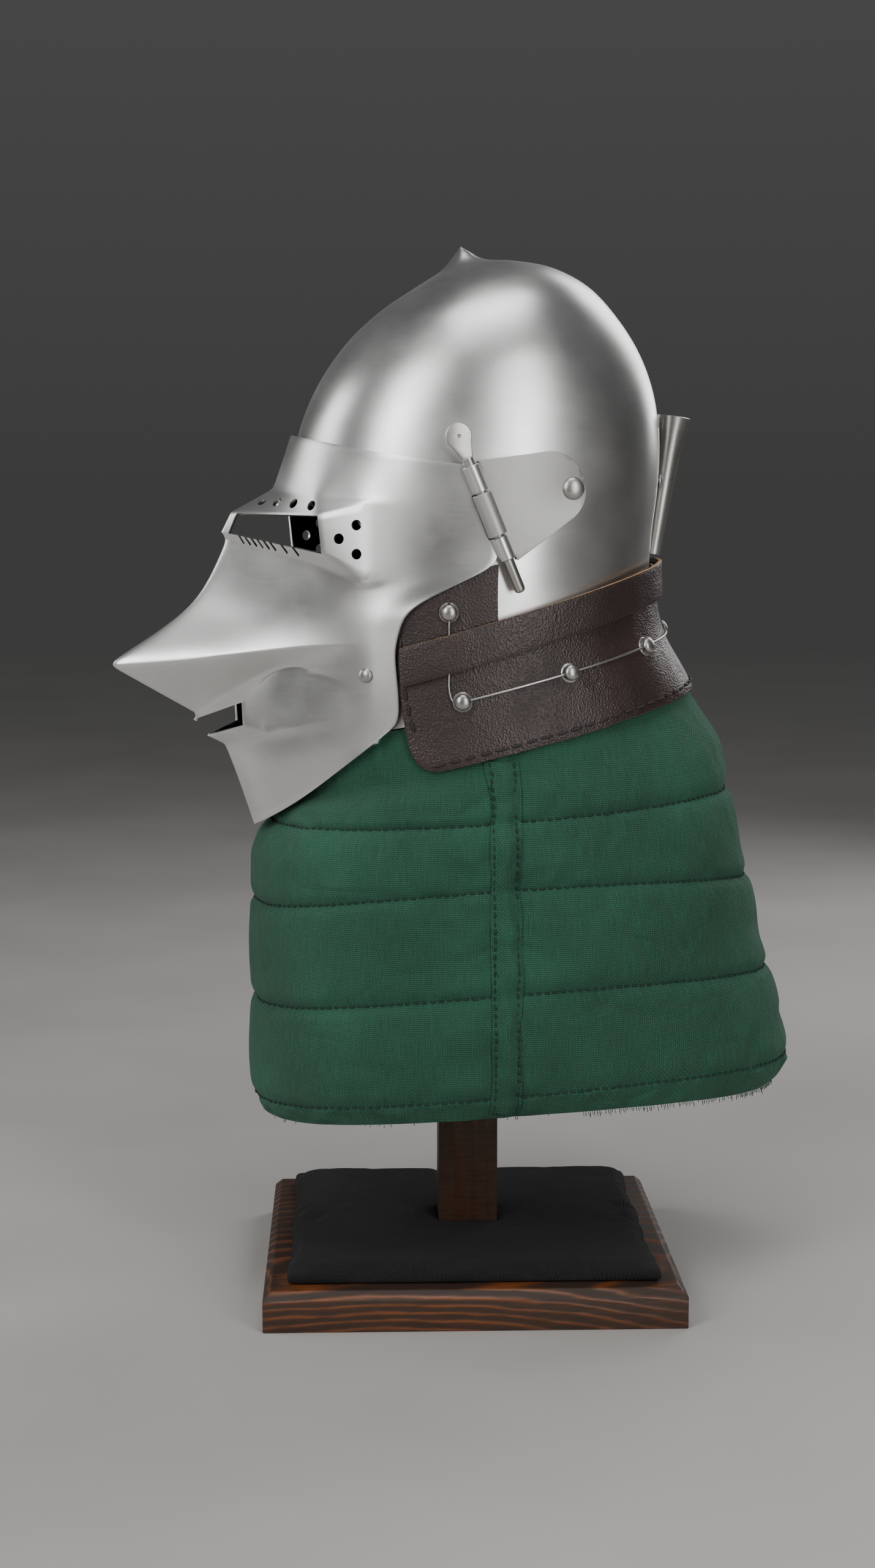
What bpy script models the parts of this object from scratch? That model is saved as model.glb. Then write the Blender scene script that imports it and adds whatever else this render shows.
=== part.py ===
"""Hounskull bascinet with a leather-banded, padded aventail on a square wooden stand.

Metres, +Z up. The helmet faces -Y and its own left is at +X. The origin is the centre of
the stand's underside. Sections and rows are shares of the sizes that they name.
"""

import math
from typing import NamedTuple

import bmesh
import bpy
from mathutils import Matrix, Vector
from mathutils.geometry import convex_hull_2d

# Skull
SKULL_LENGTH = 0.262
SKULL_WIDTH = 0.200
SKULL_HEIGHT = 0.353
SKULL_FULLNESS = 2.1
SKULL_WIDEST = 0.5
SKULL_WALL = 0.002
FACE_WIDTH = 0.158
FACE_ARCH = 0.052
FACE_ARCH_FULLNESS = 2.6
FACE_ABOVE_PIVOT = 0.003
FACE_DEPTH = 0.045

# Pivots of the visor, from the stand's underside and the middle of the helmet
PIVOT_HEIGHT = 0.549
PIVOT_BACK = 0.049
TIP_ABOVE_PIVOT = 0.1635
LIFT_ANGLE = math.radians(80)
LIFT_STEPS = 8

# Visor
SNOUT_REACH = 0.252
VISOR_HEIGHT = 0.264
BROW_ABOVE_PIVOT = 0.036
VISOR_WALL = 0.0018
VISOR_STANDOFF = 0.0076
KEEL_HALF = 0.005
BREATH_RADIUS = 0.0035
VISOR_RIVET_REACH = 0.086
VISOR_RIVET_DROP = 0.121

# Hinge that joins the visor to its side plates
HINGE_AHEAD = 0.0647
HINGE_LEAN = math.radians(22.5)
HINGE_OUT = 0.0085
PIN_RADIUS = 0.00365
PIN_CLEARANCE = 0.0003
VISOR_KNUCKLE_RADIUS = 0.00535
PLATE_KNUCKLE_RADIUS = 0.00635
KNUCKLE_TOP = 0.0162
TOP_KNUCKLE = 0.0192
MIDDLE_KNUCKLE = 0.030
LOW_KNUCKLE = 0.017
KNUCKLE_GAP = 0.0004
PIN_TAIL = 0.0225
PIN_HEAD_RADIUS = 0.0086
PIN_HEAD_RISE = 0.0198
PIN_HEAD_THICKNESS = 0.0032
PIN_NECK = 0.0063

# Side plates and their pivots
PLATE_GAP = 0.0013
PLATE_WALL = 0.002
PLATE_NOSE_RADIUS = 0.024
PLATE_NOSE_AHEAD = 0.015
PLATE_BEHIND_HINGE = 0.0015
PLATE_STRIP = 0.012
PIVOT_HEAD_RADIUS = 0.0076
PIVOT_SHANK_RADIUS = 0.0035
PIVOT_HEAD_HEIGHT = 0.0042

# Gaps between touching pieces, and how far the skull's flats may lie inside its true curve
SEAT_GAP = 0.0003
SKULL_FLATS = 0.0014

# Leather
LEATHER_GAP = 0.0012
LEATHER_WALL = 0.0025
STRAP_WALL = 0.0025
STRAP_HEIGHT = 0.0255
LEATHER_CORNER = 0.018

# Vervelle studs and the wire through them
STUD_RADIUS = 0.0054
STUD_STEM_RADIUS = 0.0026
STUD_HEIGHT = 0.0070
STUD_INNER_RADIUS = 0.004
WIRE_RADIUS = 0.0008
WIRE_HOLE_CLEARANCE = 0.0004
WIRE_LIFT = 0.0023

# Small domed rivets
RIVET_HEAD_RADIUS = 0.0048
RIVET_SHANK_RADIUS = 0.0020
RIVET_HEAD_HEIGHT = 0.0030

# Plume holder on the nape
HOLDER_LENGTH = 0.096
HOLDER_DROP = 0.045
HOLDER_TOP_RADIUS = 0.0098
HOLDER_RIM_RADIUS = 0.0120
HOLDER_FOOT_RADIUS = 0.0050
HOLDER_WALL = 0.0010
HOLDER_LEAN = math.radians(8.5)
HOLDER_PLATE_WIDTH = 0.034
HOLDER_PLATE_TOP = 0.042
HOLDER_PLATE_WALL = 0.0012
HOLDER_RIVET_RISE = 0.006
HOLDER_RIVET_OUT = 0.0125

# Padded aventail
AVENTAIL_LENGTH = 0.380
AVENTAIL_WIDTH = 0.250
AVENTAIL_DROP = 0.300
HEM_BELOW_PIVOT = 0.427
AVENTAIL_WALL = 0.009
AVENTAIL_FULLNESS = 2.15
COLLAR_INSET = 0.0006

# Stand
STAND_TURN = math.radians(-9.6)
BASE_WIDTH = 0.280
BASE_THICKNESS = 0.027
BASE_CHAMFER = 0.0055
PAD_WIDTH = 0.252
PAD_THICKNESS = 0.012
POST_WIDTH = 0.041
BLOCK_TOP_SHARE = 5.4

FAR = 0.4


class Section(NamedTuple):
    """A tilted ring of the skull: reaches in shares of its length, rises in shares of its height."""

    front_reach: float
    front_rise: float
    back_reach: float
    back_rise: float
    half_width: float


class VisorRow(NamedTuple):
    """A row of the visor's cage, from the middle to the tail.

    Reaches are shares of the snout's reach, rises of the visor's height and half widths of
    the skull's half width. Hinge is the share of the way down the hinge at which the row
    ends, or None where it ends at its own tail.
    """

    middle_reach: float
    middle_rise: float
    beak_half: float
    beak_reach: float
    beak_rise: float
    corner_half: float
    corner_reach: float
    corner_rise: float
    cheek_reach: float
    cheek_rise: float
    tail_reach: float
    tail_rise: float
    hinge: float = None


class ClothRing(NamedTuple):
    """A ring of the aventail below its leather; lift raises its sides above the ring's plane."""

    front_reach: float
    front_rise: float
    back_reach: float
    back_rise: float
    half_width: float
    lift: float


class Line(NamedTuple):
    """An edge that runs round the helmet in a tilted plane: its height at the middle, and its slope."""

    rise: float
    slope: float

    def at(self, y):
        return self.rise + self.slope * y


# The skull from its tip down to the flare of the neck
SKULL_SECTIONS = (
    Section(-0.020, 1.000, -0.020, 1.000, 0.000),
    Section(-0.036, 0.983, -0.002, 0.992, 0.025),
    Section(-0.071, 0.953, 0.042, 0.976, 0.075),
    Section(-0.137, 0.921, 0.122, 0.973, 0.165),
    Section(-0.227, 0.876, 0.221, 0.959, 0.280),
    Section(-0.313, 0.817, 0.317, 0.921, 0.375),
    Section(-0.382, 0.746, 0.397, 0.857, 0.440),
    Section(-0.429, 0.673, 0.456, 0.786, 0.477),
    Section(-0.458, 0.596, 0.492, 0.707, 0.495),
    Section(-0.477, 0.520, 0.502, 0.625, 0.500),
    Section(-0.487, 0.435, 0.498, 0.537, 0.500),
    Section(-0.492, 0.341, 0.483, 0.438, 0.500),
    Section(-0.492, 0.237, 0.483, 0.341, 0.500),
    Section(-0.487, 0.143, 0.508, 0.256, 0.507),
    Section(-0.477, 0.052, 0.573, 0.171, 0.520),
    Section(-0.462, -0.041, 0.634, 0.081, 0.540),
)

# The visor from its brow edge down to its foot
VISOR_ROWS = {
    "brow_edge": VisorRow(0.484, 1.000, 0.28, 0.474, 0.992, 0.54, 0.423, 0.977, 0.310, 0.951, 0, 0, 0.00),
    "fold": VisorRow(0.534, 0.864, 0.30, 0.516, 0.858, 0.59, 0.456, 0.850, 0.333, 0.839, 0, 0, 0.36),
    "upper_lip": VisorRow(0.649, 0.804, 0.34, 0.554, 0.800, 0.68, 0.456, 0.797, 0.339, 0.828, 0, 0, 0.56),
    "lower_lip": VisorRow(0.675, 0.754, 0.34, 0.562, 0.729, 0.68, 0.446, 0.703, 0.343, 0.640, 0, 0, 1.00),
    "under_lip": VisorRow(
        0.669, 0.731, 0.33, 0.552, 0.699, 0.65, 0.440, 0.672, 0.347, 0.614, 0.079, 0.648
    ),
    "nose": VisorRow(0.730, 0.602, 0.27, 0.599, 0.580, 0.59, 0.472, 0.570, 0.351, 0.551, 0.228, 0.580),
    "snout_top": VisorRow(
        0.820, 0.523, 0.25, 0.635, 0.527, 0.575, 0.482, 0.530, 0.351, 0.523, 0.258, 0.538
    ),
    "snout_crease": VisorRow(
        1.000, 0.420, 0.23, 0.754, 0.439, 0.565, 0.492, 0.473, 0.351, 0.477, 0.273, 0.472
    ),
    "under_snout": VisorRow(
        0.940, 0.388, 0.205, 0.750, 0.398, 0.50, 0.506, 0.464, 0.351, 0.455, 0.272, 0.438
    ),
    "lip_facet": VisorRow(
        0.764, 0.288, 0.18, 0.647, 0.356, 0.435, 0.520, 0.450, 0.351, 0.405, 0.266, 0.375
    ),
    "mouth_top": VisorRow(
        0.754, 0.275, 0.20, 0.634, 0.323, 0.375, 0.532, 0.430, 0.351, 0.375, 0.264, 0.341
    ),
    "mouth_foot": VisorRow(
        0.717, 0.232, 0.20, 0.631, 0.265, 0.35, 0.573, 0.250, 0.355, 0.314, 0.264, 0.307
    ),
    "chin_top": VisorRow(
        0.671, 0.210, 0.21, 0.613, 0.223, 0.365, 0.563, 0.225, 0.359, 0.280, 0.272, 0.284
    ),
    "chin": VisorRow(0.639, 0.133, 0.22, 0.603, 0.144, 0.42, 0.540, 0.159, 0.369, 0.233, 0.290, 0.265),
    "foot": VisorRow(0.593, 0.000, 0.23, 0.563, 0.027, 0.46, 0.484, 0.085, 0.385, 0.182, 0.319, 0.241),
}

# How sharply each row of the visor folds, from the middle to the cheek
ROW_CREASES = {
    "fold": 0.7,
    "upper_lip": 1.0,
    "lower_lip": 1.0,
    "snout_crease": 0.75,
    "lip_facet": 0.8,
    "mouth_top": 1.0,
    "mouth_foot": 1.0,
    "chin_top": 0.5,
}
KEEL_ROWS = ("brow_edge", "fold", "upper_lip", "lower_lip", "chin_top", "chin", "foot")
MIDDLE, KEEL, BEAK, CORNER, CHEEK, SIDE, TAIL = range(7)

# Breaths on each side: share of the way to the corner along the roof of the sight
ROOF_BREATHS = (0.20, 0.43, 0.68, 0.93)
# Breaths beside the sight: shares back from its corner and down from its ridge
SIDE_BREATHS = ((0.80, 0.28), (0.42, 0.52), (0.80, 0.70))

# Edges that run round the helmet, as planes below the pivots
SKULL_EDGE = Line(PIVOT_HEIGHT - 0.1415, 0.22)
CLOTH_TOP = Line(PIVOT_HEIGHT - 0.1425, 0.22)
LEATHER_FOOT = Line(PIVOT_HEIGHT - 0.1741, 0.245)
STUD_LINE = Line(PIVOT_HEIGHT - 0.1319, 0.245)
STRAP_TOP = Line(PIVOT_HEIGHT - 0.0845, 0.295)
LEATHER_UNDER_STRAP = 0.004
LEATHER_FRONT = 0.062
LEATHER_STEP = 0.002
LEATHER_WING_TOP = Line(PIVOT_HEIGHT - 0.0485, 0.25)
STRAP_FRONT = 0.0632
STRAP_SLANT = 0.0015

# Studs: reach behind the middle of the helmet, and the one above the strap
STUD_REACHES = (-0.025, 0.046, 0.104)
HIGH_STUD_REACH = -0.0335
HIGH_STUD_LINE = Line(PIVOT_HEIGHT - 0.0717, 0.245)

CLOTH_RINGS = (
    ClothRing(-0.346, 0.710, 0.466, 0.853, 0.450, 0.000),
    ClothRing(-0.352, 0.673, 0.463, 0.737, 0.440, 0.000),
    ClothRing(-0.387, 0.590, 0.497, 0.643, 0.472, 0.020),
    ClothRing(-0.382, 0.490, 0.503, 0.530, 0.460, 0.047),
    ClothRing(-0.393, 0.387, 0.539, 0.427, 0.484, 0.043),
    ClothRing(-0.384, 0.263, 0.545, 0.313, 0.470, 0.040),
    ClothRing(-0.395, 0.160, 0.584, 0.213, 0.496, 0.037),
    ClothRing(-0.386, 0.040, 0.589, 0.103, 0.480, 0.033),
    ClothRing(-0.392, 0.023, 0.603, 0.077, 0.492, 0.037),
    ClothRing(-0.376, 0.000, 0.576, 0.033, 0.472, 0.037),
)

PIVOT = Vector((SKULL_WIDTH / 2, PIVOT_BACK, PIVOT_HEIGHT))
SKULL_FOOT = PIVOT_HEIGHT + TIP_ABOVE_PIVOT - SKULL_HEIGHT
VISOR_FOOT = PIVOT_HEIGHT + BROW_ABOVE_PIVOT - VISOR_HEIGHT
AVENTAIL_HEM_HEIGHT = PIVOT_HEIGHT - HEM_BELOW_PIVOT
LEATHER_OUTSIDE = LEATHER_GAP + LEATHER_WALL
STRAP_INSIDE = LEATHER_OUTSIDE + 2 * SEAT_GAP + 2 * WIRE_RADIUS
STUD_TOP = LEATHER_OUTSIDE + STUD_HEIGHT
SIDES = (("left", 1), ("right", -1))


def clear_scene():
    for obj in list(bpy.data.objects):
        bpy.data.objects.remove(obj, do_unlink=True)


def make_collection(name):
    collection = bpy.data.collections.new(name)
    bpy.context.scene.collection.children.link(collection)
    return collection


def make_material(name, colour, roughness, metallic=0.0):
    material = bpy.data.materials.new(name)
    material.use_nodes = True
    shader = material.node_tree.nodes["Principled BSDF"]
    shader.inputs["Base Color"].default_value = (*colour, 1.0)
    shader.inputs["Roughness"].default_value = roughness
    shader.inputs["Metallic"].default_value = metallic
    return material


clear_scene()
PARTS = make_collection("hounskull_bascinet")
CUTTERS = make_collection("cutters")
STEEL = make_material("brushed_steel", (0.62, 0.62, 0.61), 0.32, 1.0)
BRIGHT_STEEL = make_material("polished_steel", (0.70, 0.69, 0.67), 0.22, 1.0)
LEATHER = make_material("brown_leather", (0.060, 0.034, 0.028), 0.55)
CLOTH = make_material("green_cloth", (0.030, 0.160, 0.105), 0.90)
WOOD = make_material("stained_wood", (0.110, 0.055, 0.030), 0.50)
BLACK_CLOTH = make_material("black_cloth", (0.012, 0.012, 0.013), 0.95)


def interpolated(rows, s):
    """The row at number s, on a smooth curve through the rows of a table."""
    i = max(0, min(int(s), len(rows) - 2))
    t = s - i
    last = len(rows) - 1
    before, here, after, beyond = (rows[max(0, min(k, last))] for k in (i - 1, i, i + 1, i + 2))
    values = []
    for p, q, r, w in zip(before, here, after, beyond):
        bend = (2 * p - 5 * q + 4 * r - w) * t + (3 * q - p - 3 * r + w) * t * t
        values.append(q + 0.5 * t * (r - p + bend))
    return type(here)(*values)


def ring_point(front, back, half_width, widest, fullness, angle, lift=0.0):
    """A point of a tilted ring; the angle is 0 at the front, half a turn at the back.

    Front and back are (reach, height) pairs.
    """
    middle = front[0] + widest * (back[0] - front[0])
    end = front if angle < math.pi / 2 else back
    power = 2 / fullness
    y = middle + (end[0] - middle) * abs(math.cos(angle)) ** power
    x = half_width * max(0.0, math.sin(angle)) ** power
    along = (y - front[0]) / (back[0] - front[0]) if back[0] != front[0] else 0.5
    z = front[1] + along * (back[1] - front[1]) + lift * math.sin(angle) ** 2
    return Vector((x, y, z))


def skull_ring(s):
    """Front pair, back pair and half width of the skull's ring at row number s, in metres."""
    row = interpolated(SKULL_SECTIONS, s)
    front = (row.front_reach * SKULL_LENGTH, SKULL_FOOT + row.front_rise * SKULL_HEIGHT)
    back = (row.back_reach * SKULL_LENGTH, SKULL_FOOT + row.back_rise * SKULL_HEIGHT)
    return front, back, row.half_width * SKULL_WIDTH


def on_skull(angle, s):
    front, back, half_width = skull_ring(s)
    return ring_point(front, back, half_width, SKULL_WIDEST, SKULL_FULLNESS, angle)


def skull_normal(angle, s):
    step = 0.02
    low = min(max(angle, step), math.pi - step)
    along = on_skull(low + step, s) - on_skull(low - step, s)
    if angle < step or angle > math.pi - step:
        along = Vector((1.0 if angle < step else -1.0, 0.0, 0.0))
    down = on_skull(angle, s + step) - on_skull(angle, s - step)
    normal = along.cross(down).normalized()
    return -normal if normal.dot(Vector((0, 0, -1)).cross(along)) < 0 else normal


def outside_skull(angle, s, offset):
    return on_skull(angle, s) + skull_normal(angle, s) * offset


def row_at_line(angle, line, first=2.0):
    """Number of the skull's row whose point at this angle lies on an edge line."""
    low, high = first, len(SKULL_SECTIONS) - 1.0
    for _ in range(40):
        s = (low + high) / 2
        point = on_skull(angle, s)
        if point.z > line.at(point.y):
            low = s
        else:
            high = s
    return s


def spot_beside(y, z):
    """The (angle, row number) at which the skull's side has this reach and height."""
    low, high = 2.0, len(SKULL_SECTIONS) - 1.0
    for _ in range(40):
        s = (low + high) / 2
        front, back, _ = skull_ring(s)
        level = front[1] + (back[1] - front[1]) * (y - front[0]) / (back[0] - front[0])
        if level > z:
            low = s
        else:
            high = s
    middle = front[0] + SKULL_WIDEST * (back[0] - front[0])
    end = front if y < middle else back
    share = min(1.0, abs(y - middle) / abs(end[0] - middle))
    angle = math.acos(share ** (SKULL_FULLNESS / 2))
    return (angle if y < middle else math.pi - angle), s


def spot_on_line(y, line):
    return spot_beside(y, line.at(y))


def beside_skull(y, z, standoff):
    """The half width that lies this far off the skull's side."""
    spot = spot_beside(y, z)
    return on_skull(*spot).x + standoff / max(0.75, skull_normal(*spot).x)


def clear_of_skull(y, z, standoff):
    """The half width that stays this far off the skull while the point turns about the pivot."""
    reach = Vector((y - PIVOT_BACK, z - PIVOT_HEIGHT))
    widest = 0.0
    for step in range(LIFT_STEPS + 1):
        turn = LIFT_ANGLE * step / LIFT_STEPS
        spot_y = PIVOT_BACK + reach.x * math.cos(turn) + reach.y * math.sin(turn)
        spot_z = PIVOT_HEIGHT - reach.x * math.sin(turn) + reach.y * math.cos(turn)
        widest = max(widest, beside_skull(spot_y, spot_z, standoff))
    return widest


def frame_on(angle, s, side=1):
    """A matrix that stands on the skull: its Z is the outward normal, its X runs round the back."""
    normal = skull_normal(angle, s)
    across = Vector((0, 0, 1)).cross(normal).normalized()
    upward = normal.cross(across)
    origin = on_skull(angle, s)
    matrix = Matrix((across, upward, normal)).transposed().to_4x4()
    matrix.translation = origin
    if side > 0:
        return matrix
    flip = Matrix.Diagonal((-1, 1, 1, 1))
    return flip @ matrix @ flip


def link(name, mesh, material, collection=None):
    obj = bpy.data.objects.new(name, mesh)
    (collection or PARTS).objects.link(obj)
    if material:
        mesh.materials.append(material)
    return obj


def mesh_of(bm, name, smooth=True):
    mesh = bpy.data.meshes.new(name)
    bm.to_mesh(mesh)
    bm.free()
    if smooth:
        mesh.shade_smooth()
        mesh.set_sharp_from_angle(angle=math.radians(40))
    return mesh


def face_out(bm, centre):
    """Turns an open sheet's faces away from a point."""
    bmesh.ops.recalc_face_normals(bm, faces=bm.faces)
    total = sum(face.normal.dot(face.calc_center_median() - centre) for face in bm.faces)
    if total < 0:
        bmesh.ops.reverse_faces(bm, faces=bm.faces)


def lofted(columns, rows, place, centre):
    """A sheet of columns by rows faces whose corners stand where place(column, row) says."""
    bm = bmesh.new()
    bmesh.ops.create_grid(bm, x_segments=columns, y_segments=rows, size=0.5)
    for vert in bm.verts:
        column = round((vert.co.x + 0.5) * columns)
        row = round((0.5 - vert.co.y) * rows)
        vert.co = place(column, row)
    bmesh.ops.remove_doubles(bm, verts=bm.verts, dist=1e-6)
    face_out(bm, centre)
    return bm


def add_mirror(obj):
    mirror = obj.modifiers.new("mirror", "MIRROR")
    mirror.merge_threshold = 0.0001


def add_wall(obj, thickness):
    """Thickens a sheet inwards; its faces are made flat, so that a Boolean after it cuts cleanly."""
    wall = obj.modifiers.new("wall", "SOLIDIFY")
    wall.thickness = thickness
    wall.offset = -1.0
    wall.use_even_offset = True
    wall.use_quality_normals = True
    obj.modifiers.new("flat_faces", "TRIANGULATE")


def add_boolean(obj, name, operation, other):
    boolean = obj.modifiers.new(name, "BOOLEAN")
    boolean.operation = operation
    boolean.solver = "EXACT"
    if isinstance(other, bpy.types.Collection):
        boolean.operand_type = "COLLECTION"
        boolean.collection = other
    else:
        boolean.object = other


def cutter_group(name):
    group = bpy.data.collections.new(name)
    CUTTERS.children.link(group)
    return group


def hide_cutter(obj):
    obj.hide_render = True
    obj.display_type = "WIRE"
    return obj


def rod(name, radius, length, matrix, segments, collection=None, material=None):
    """A closed cylinder about the local Z of a matrix, centred on it."""
    bm = bmesh.new()
    bmesh.ops.create_cone(
        bm, cap_ends=True, segments=segments, radius1=radius, radius2=radius, depth=length
    )
    obj = link(name, mesh_of(bm, name), material, collection)
    obj.matrix_world = matrix
    return obj


def hole_cutter(name, radius, matrix, group, segments=12, length=0.03):
    return hide_cutter(rod(name, radius, length, matrix, segments, group))


def turned(name, profile, steps, material, matrix):
    """A solid turned about the local Z of a matrix, its profile given from its top to its foot."""
    mesh = bpy.data.meshes.new(name)
    edges = [(i, i + 1) for i in range(len(profile) - 1)]
    mesh.from_pydata([(radius, 0.0, height) for radius, height in profile], edges, [])
    obj = link(name, mesh, material)
    screw = obj.modifiers.new("turn", "SCREW")
    screw.steps = steps
    screw.render_steps = steps
    screw.use_merge_vertices = True
    screw.merge_threshold = 0.00001
    obj.matrix_world = matrix
    return obj


def hinge_point(along):
    """(reach, height) of the hinge's axis, this far above the pivot's height along its lean."""
    y = PIVOT.y - HINGE_AHEAD - along * math.sin(HINGE_LEAN)
    return y, PIVOT.z + along * math.cos(HINGE_LEAN)


def hinge_matrix(along, side):
    """A matrix on the hinge's axis with its Z up the pin."""
    y, z = hinge_point(along)
    x = side * (SKULL_WIDTH / 2 + HINGE_OUT)
    return Matrix.Translation((x, y, z)) @ Matrix.Rotation(HINGE_LEAN, 4, "X")


def visor_point(column, row_name):
    """A corner of the visor's cage, on its left half."""
    row = VISOR_ROWS[row_name]

    def spot(half, reach, rise):
        return Vector((half * SKULL_WIDTH / 2, -reach * SNOUT_REACH, VISOR_FOOT + rise * VISOR_HEIGHT))

    middle = spot(0.0, row.middle_reach, row.middle_rise)
    beak = spot(row.beak_half, row.beak_reach, row.beak_rise)
    corner = spot(row.corner_half, row.corner_reach, row.corner_rise)
    cheek = spot(0.0, row.cheek_reach, row.cheek_rise)
    cheek.x = beside_skull(cheek.y, cheek.z, VISOR_STANDOFF)
    tail = spot(0.0, row.tail_reach, row.tail_rise)
    if row.hinge is not None:
        span = TOP_KNUCKLE + MIDDLE_KNUCKLE + LOW_KNUCKLE
        tail.y, tail.z = hinge_point(KNUCKLE_TOP - row.hinge * span)
        tail.y -= PLATE_BEHIND_HINGE
    tail.x = beside_skull(tail.y, tail.z, VISOR_STANDOFF)
    if column == MIDDLE:
        return middle
    if column == KEEL:
        return middle.lerp(beak, KEEL_HALF / beak.x)
    if column == BEAK:
        return beak
    if column == CORNER:
        return corner
    if column == CHEEK:
        return cheek
    if column == SIDE:
        side = cheek.lerp(tail, 0.5)
        side.x = beside_skull(side.y, side.z, VISOR_STANDOFF)
        return side
    return tail


def in_opening(row_name, columns):
    """Whether the cage's face below this row, between these columns, is open for sight or breath."""
    if row_name == "upper_lip":
        return KEEL <= min(columns) and max(columns) <= CORNER
    return row_name == "mouth_top" and max(columns) <= BEAK


def make_visor():
    names = list(VISOR_ROWS)
    bm = bmesh.new()
    bmesh.ops.create_grid(bm, x_segments=TAIL, y_segments=len(names) - 1, size=0.5)
    crease = bm.edges.layers.float.new("crease_edge")
    places = {}
    for vert in bm.verts:
        column = round((vert.co.x + 0.5) * TAIL)
        row = round((0.5 - vert.co.y) * (len(names) - 1))
        places[vert] = (column, row)
    open_faces = []
    for face in bm.faces:
        columns = [places[vert][0] for vert in face.verts]
        row = min(places[vert][1] for vert in face.verts)
        if in_opening(names[row], columns):
            open_faces.append(face)
    for edge in bm.edges:
        (column_a, row_a), (column_b, row_b) = (places[vert] for vert in edge.verts)
        name = names[max(row_a, row_b)]
        if row_a == row_b and max(column_a, column_b) <= CHEEK:
            edge[crease] = ROW_CREASES.get(names[row_a], 0.0)
        elif column_a == column_b == MIDDLE and name in KEEL_ROWS:
            edge[crease] = 0.5
        elif column_a == column_b == CORNER and name in ("lower_lip", "mouth_foot"):
            edge[crease] = 0.8
        elif column_a == column_b == BEAK and name == "mouth_foot":
            edge[crease] = 1.0
    for vert, (column, row) in places.items():
        vert.co = visor_point(column, names[row])
    bmesh.ops.delete(bm, geom=open_faces, context="FACES_ONLY")
    face_out(bm, Vector((0, 0, PIVOT_HEIGHT - VISOR_RIVET_DROP / 2)))
    obj = link("visor", mesh_of(bm, "visor"), STEEL)
    add_mirror(obj)
    smooth = obj.modifiers.new("smooth", "SUBSURF")
    smooth.levels = 1
    smooth.render_levels = 1
    smooth.boundary_smooth = "PRESERVE_CORNERS"
    rivets = find_visor_rivets(obj)
    add_wall(obj, VISOR_WALL)
    add_boolean(obj, "holes", "DIFFERENCE", make_visor_cutters(rivets))
    for side_name, side in SIDES:
        for part, top, length in (
            ("top", KNUCKLE_TOP, TOP_KNUCKLE),
            ("low", KNUCKLE_TOP - TOP_KNUCKLE - MIDDLE_KNUCKLE, LOW_KNUCKLE),
        ):
            name = f"visor_knuckle_{part}_{side_name}"
            knuckle = knuckle_tool(name, VISOR_KNUCKLE_RADIUS, top, length, side)
            add_boolean(obj, name, "UNION", knuckle)
    add_boolean(obj, "pin_bores", "DIFFERENCE", make_pin_bores("visor_pin_bores"))
    make_visor_rivets(rivets)


def knuckle_tool(name, radius, top, length, side):
    """A solid roll that a Boolean joins to a sheet; its bore is cut afterwards."""
    matrix = hinge_matrix(top - length / 2, side)
    return hide_cutter(rod(name, radius, length - KNUCKLE_GAP, matrix, 14, CUTTERS))


def make_pin_bores(name):
    group = cutter_group(name)
    for side_name, side in SIDES:
        matrix = hinge_matrix(-MIDDLE_KNUCKLE / 2, side)
        radius = PIN_RADIUS + PIN_CLEARANCE
        hole_cutter(f"{name}_{side_name}", radius, matrix, group, 12, 0.12)
    return group


def upright_at(point, direction):
    """A matrix at a point with its Z along a direction."""
    matrix = direction.to_track_quat("Z", "Y").to_matrix().to_4x4()
    matrix.translation = point
    return matrix


def mirrored(matrix, side):
    if side > 0:
        return matrix
    flip = Matrix.Diagonal((-1, 1, 1, 1))
    return flip @ matrix @ flip


def roof_breath(share):
    """A matrix on the sight's roof, its Z out of the sheet."""
    columns = (MIDDLE, CORNER)
    back = visor_point(columns[0], "fold").lerp(visor_point(columns[1], "fold"), share)
    front = visor_point(columns[0], "upper_lip").lerp(visor_point(columns[1], "upper_lip"), share)
    along = visor_point(CORNER, "upper_lip") - visor_point(MIDDLE, "upper_lip")
    normal = along.cross(back - front).normalized()
    if normal.z < 0:
        normal.negate()
    return upright_at(back.lerp(front, 0.55), normal)


def side_breath(back_share, down_share):
    """A matrix on the face beside the sight, its Z out of the sheet."""
    top = visor_point(CORNER, "upper_lip").lerp(visor_point(CHEEK, "upper_lip"), back_share)
    low = visor_point(CORNER, "lower_lip").lerp(visor_point(CHEEK, "lower_lip"), back_share)
    along = visor_point(CHEEK, "upper_lip") - visor_point(CORNER, "upper_lip")
    normal = along.cross(low - top).normalized()
    if normal.x < 0:
        normal.negate()
    return upright_at(top.lerp(low, down_share), normal)


def make_visor_cutters(rivets):
    group = cutter_group("visor_cutters")
    middle_top = KNUCKLE_TOP - TOP_KNUCKLE
    for side_name, side in SIDES:
        for k, share in enumerate(ROOF_BREATHS):
            matrix = mirrored(roof_breath(share), side)
            hole_cutter(f"roof_breath_{side_name}_{k}", BREATH_RADIUS, matrix, group, 8, 0.014)
        for k, (back_share, down_share) in enumerate(SIDE_BREATHS):
            matrix = mirrored(side_breath(back_share, down_share), side)
            hole_cutter(f"side_breath_{side_name}_{k}", BREATH_RADIUS, matrix, group, 8, 0.014)
        matrix = hinge_matrix(middle_top - MIDDLE_KNUCKLE / 2, side)
        room = PLATE_KNUCKLE_RADIUS + KNUCKLE_GAP
        length = MIDDLE_KNUCKLE + 2 * KNUCKLE_GAP
        hole_cutter(f"plate_knuckle_room_{side_name}", room, matrix, group, 14, length)
        radius = RIVET_SHANK_RADIUS + SEAT_GAP
        hole_cutter(f"visor_rivet_hole_{side_name}", radius, rivets[side], group, 10, 0.02)
    return group


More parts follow.
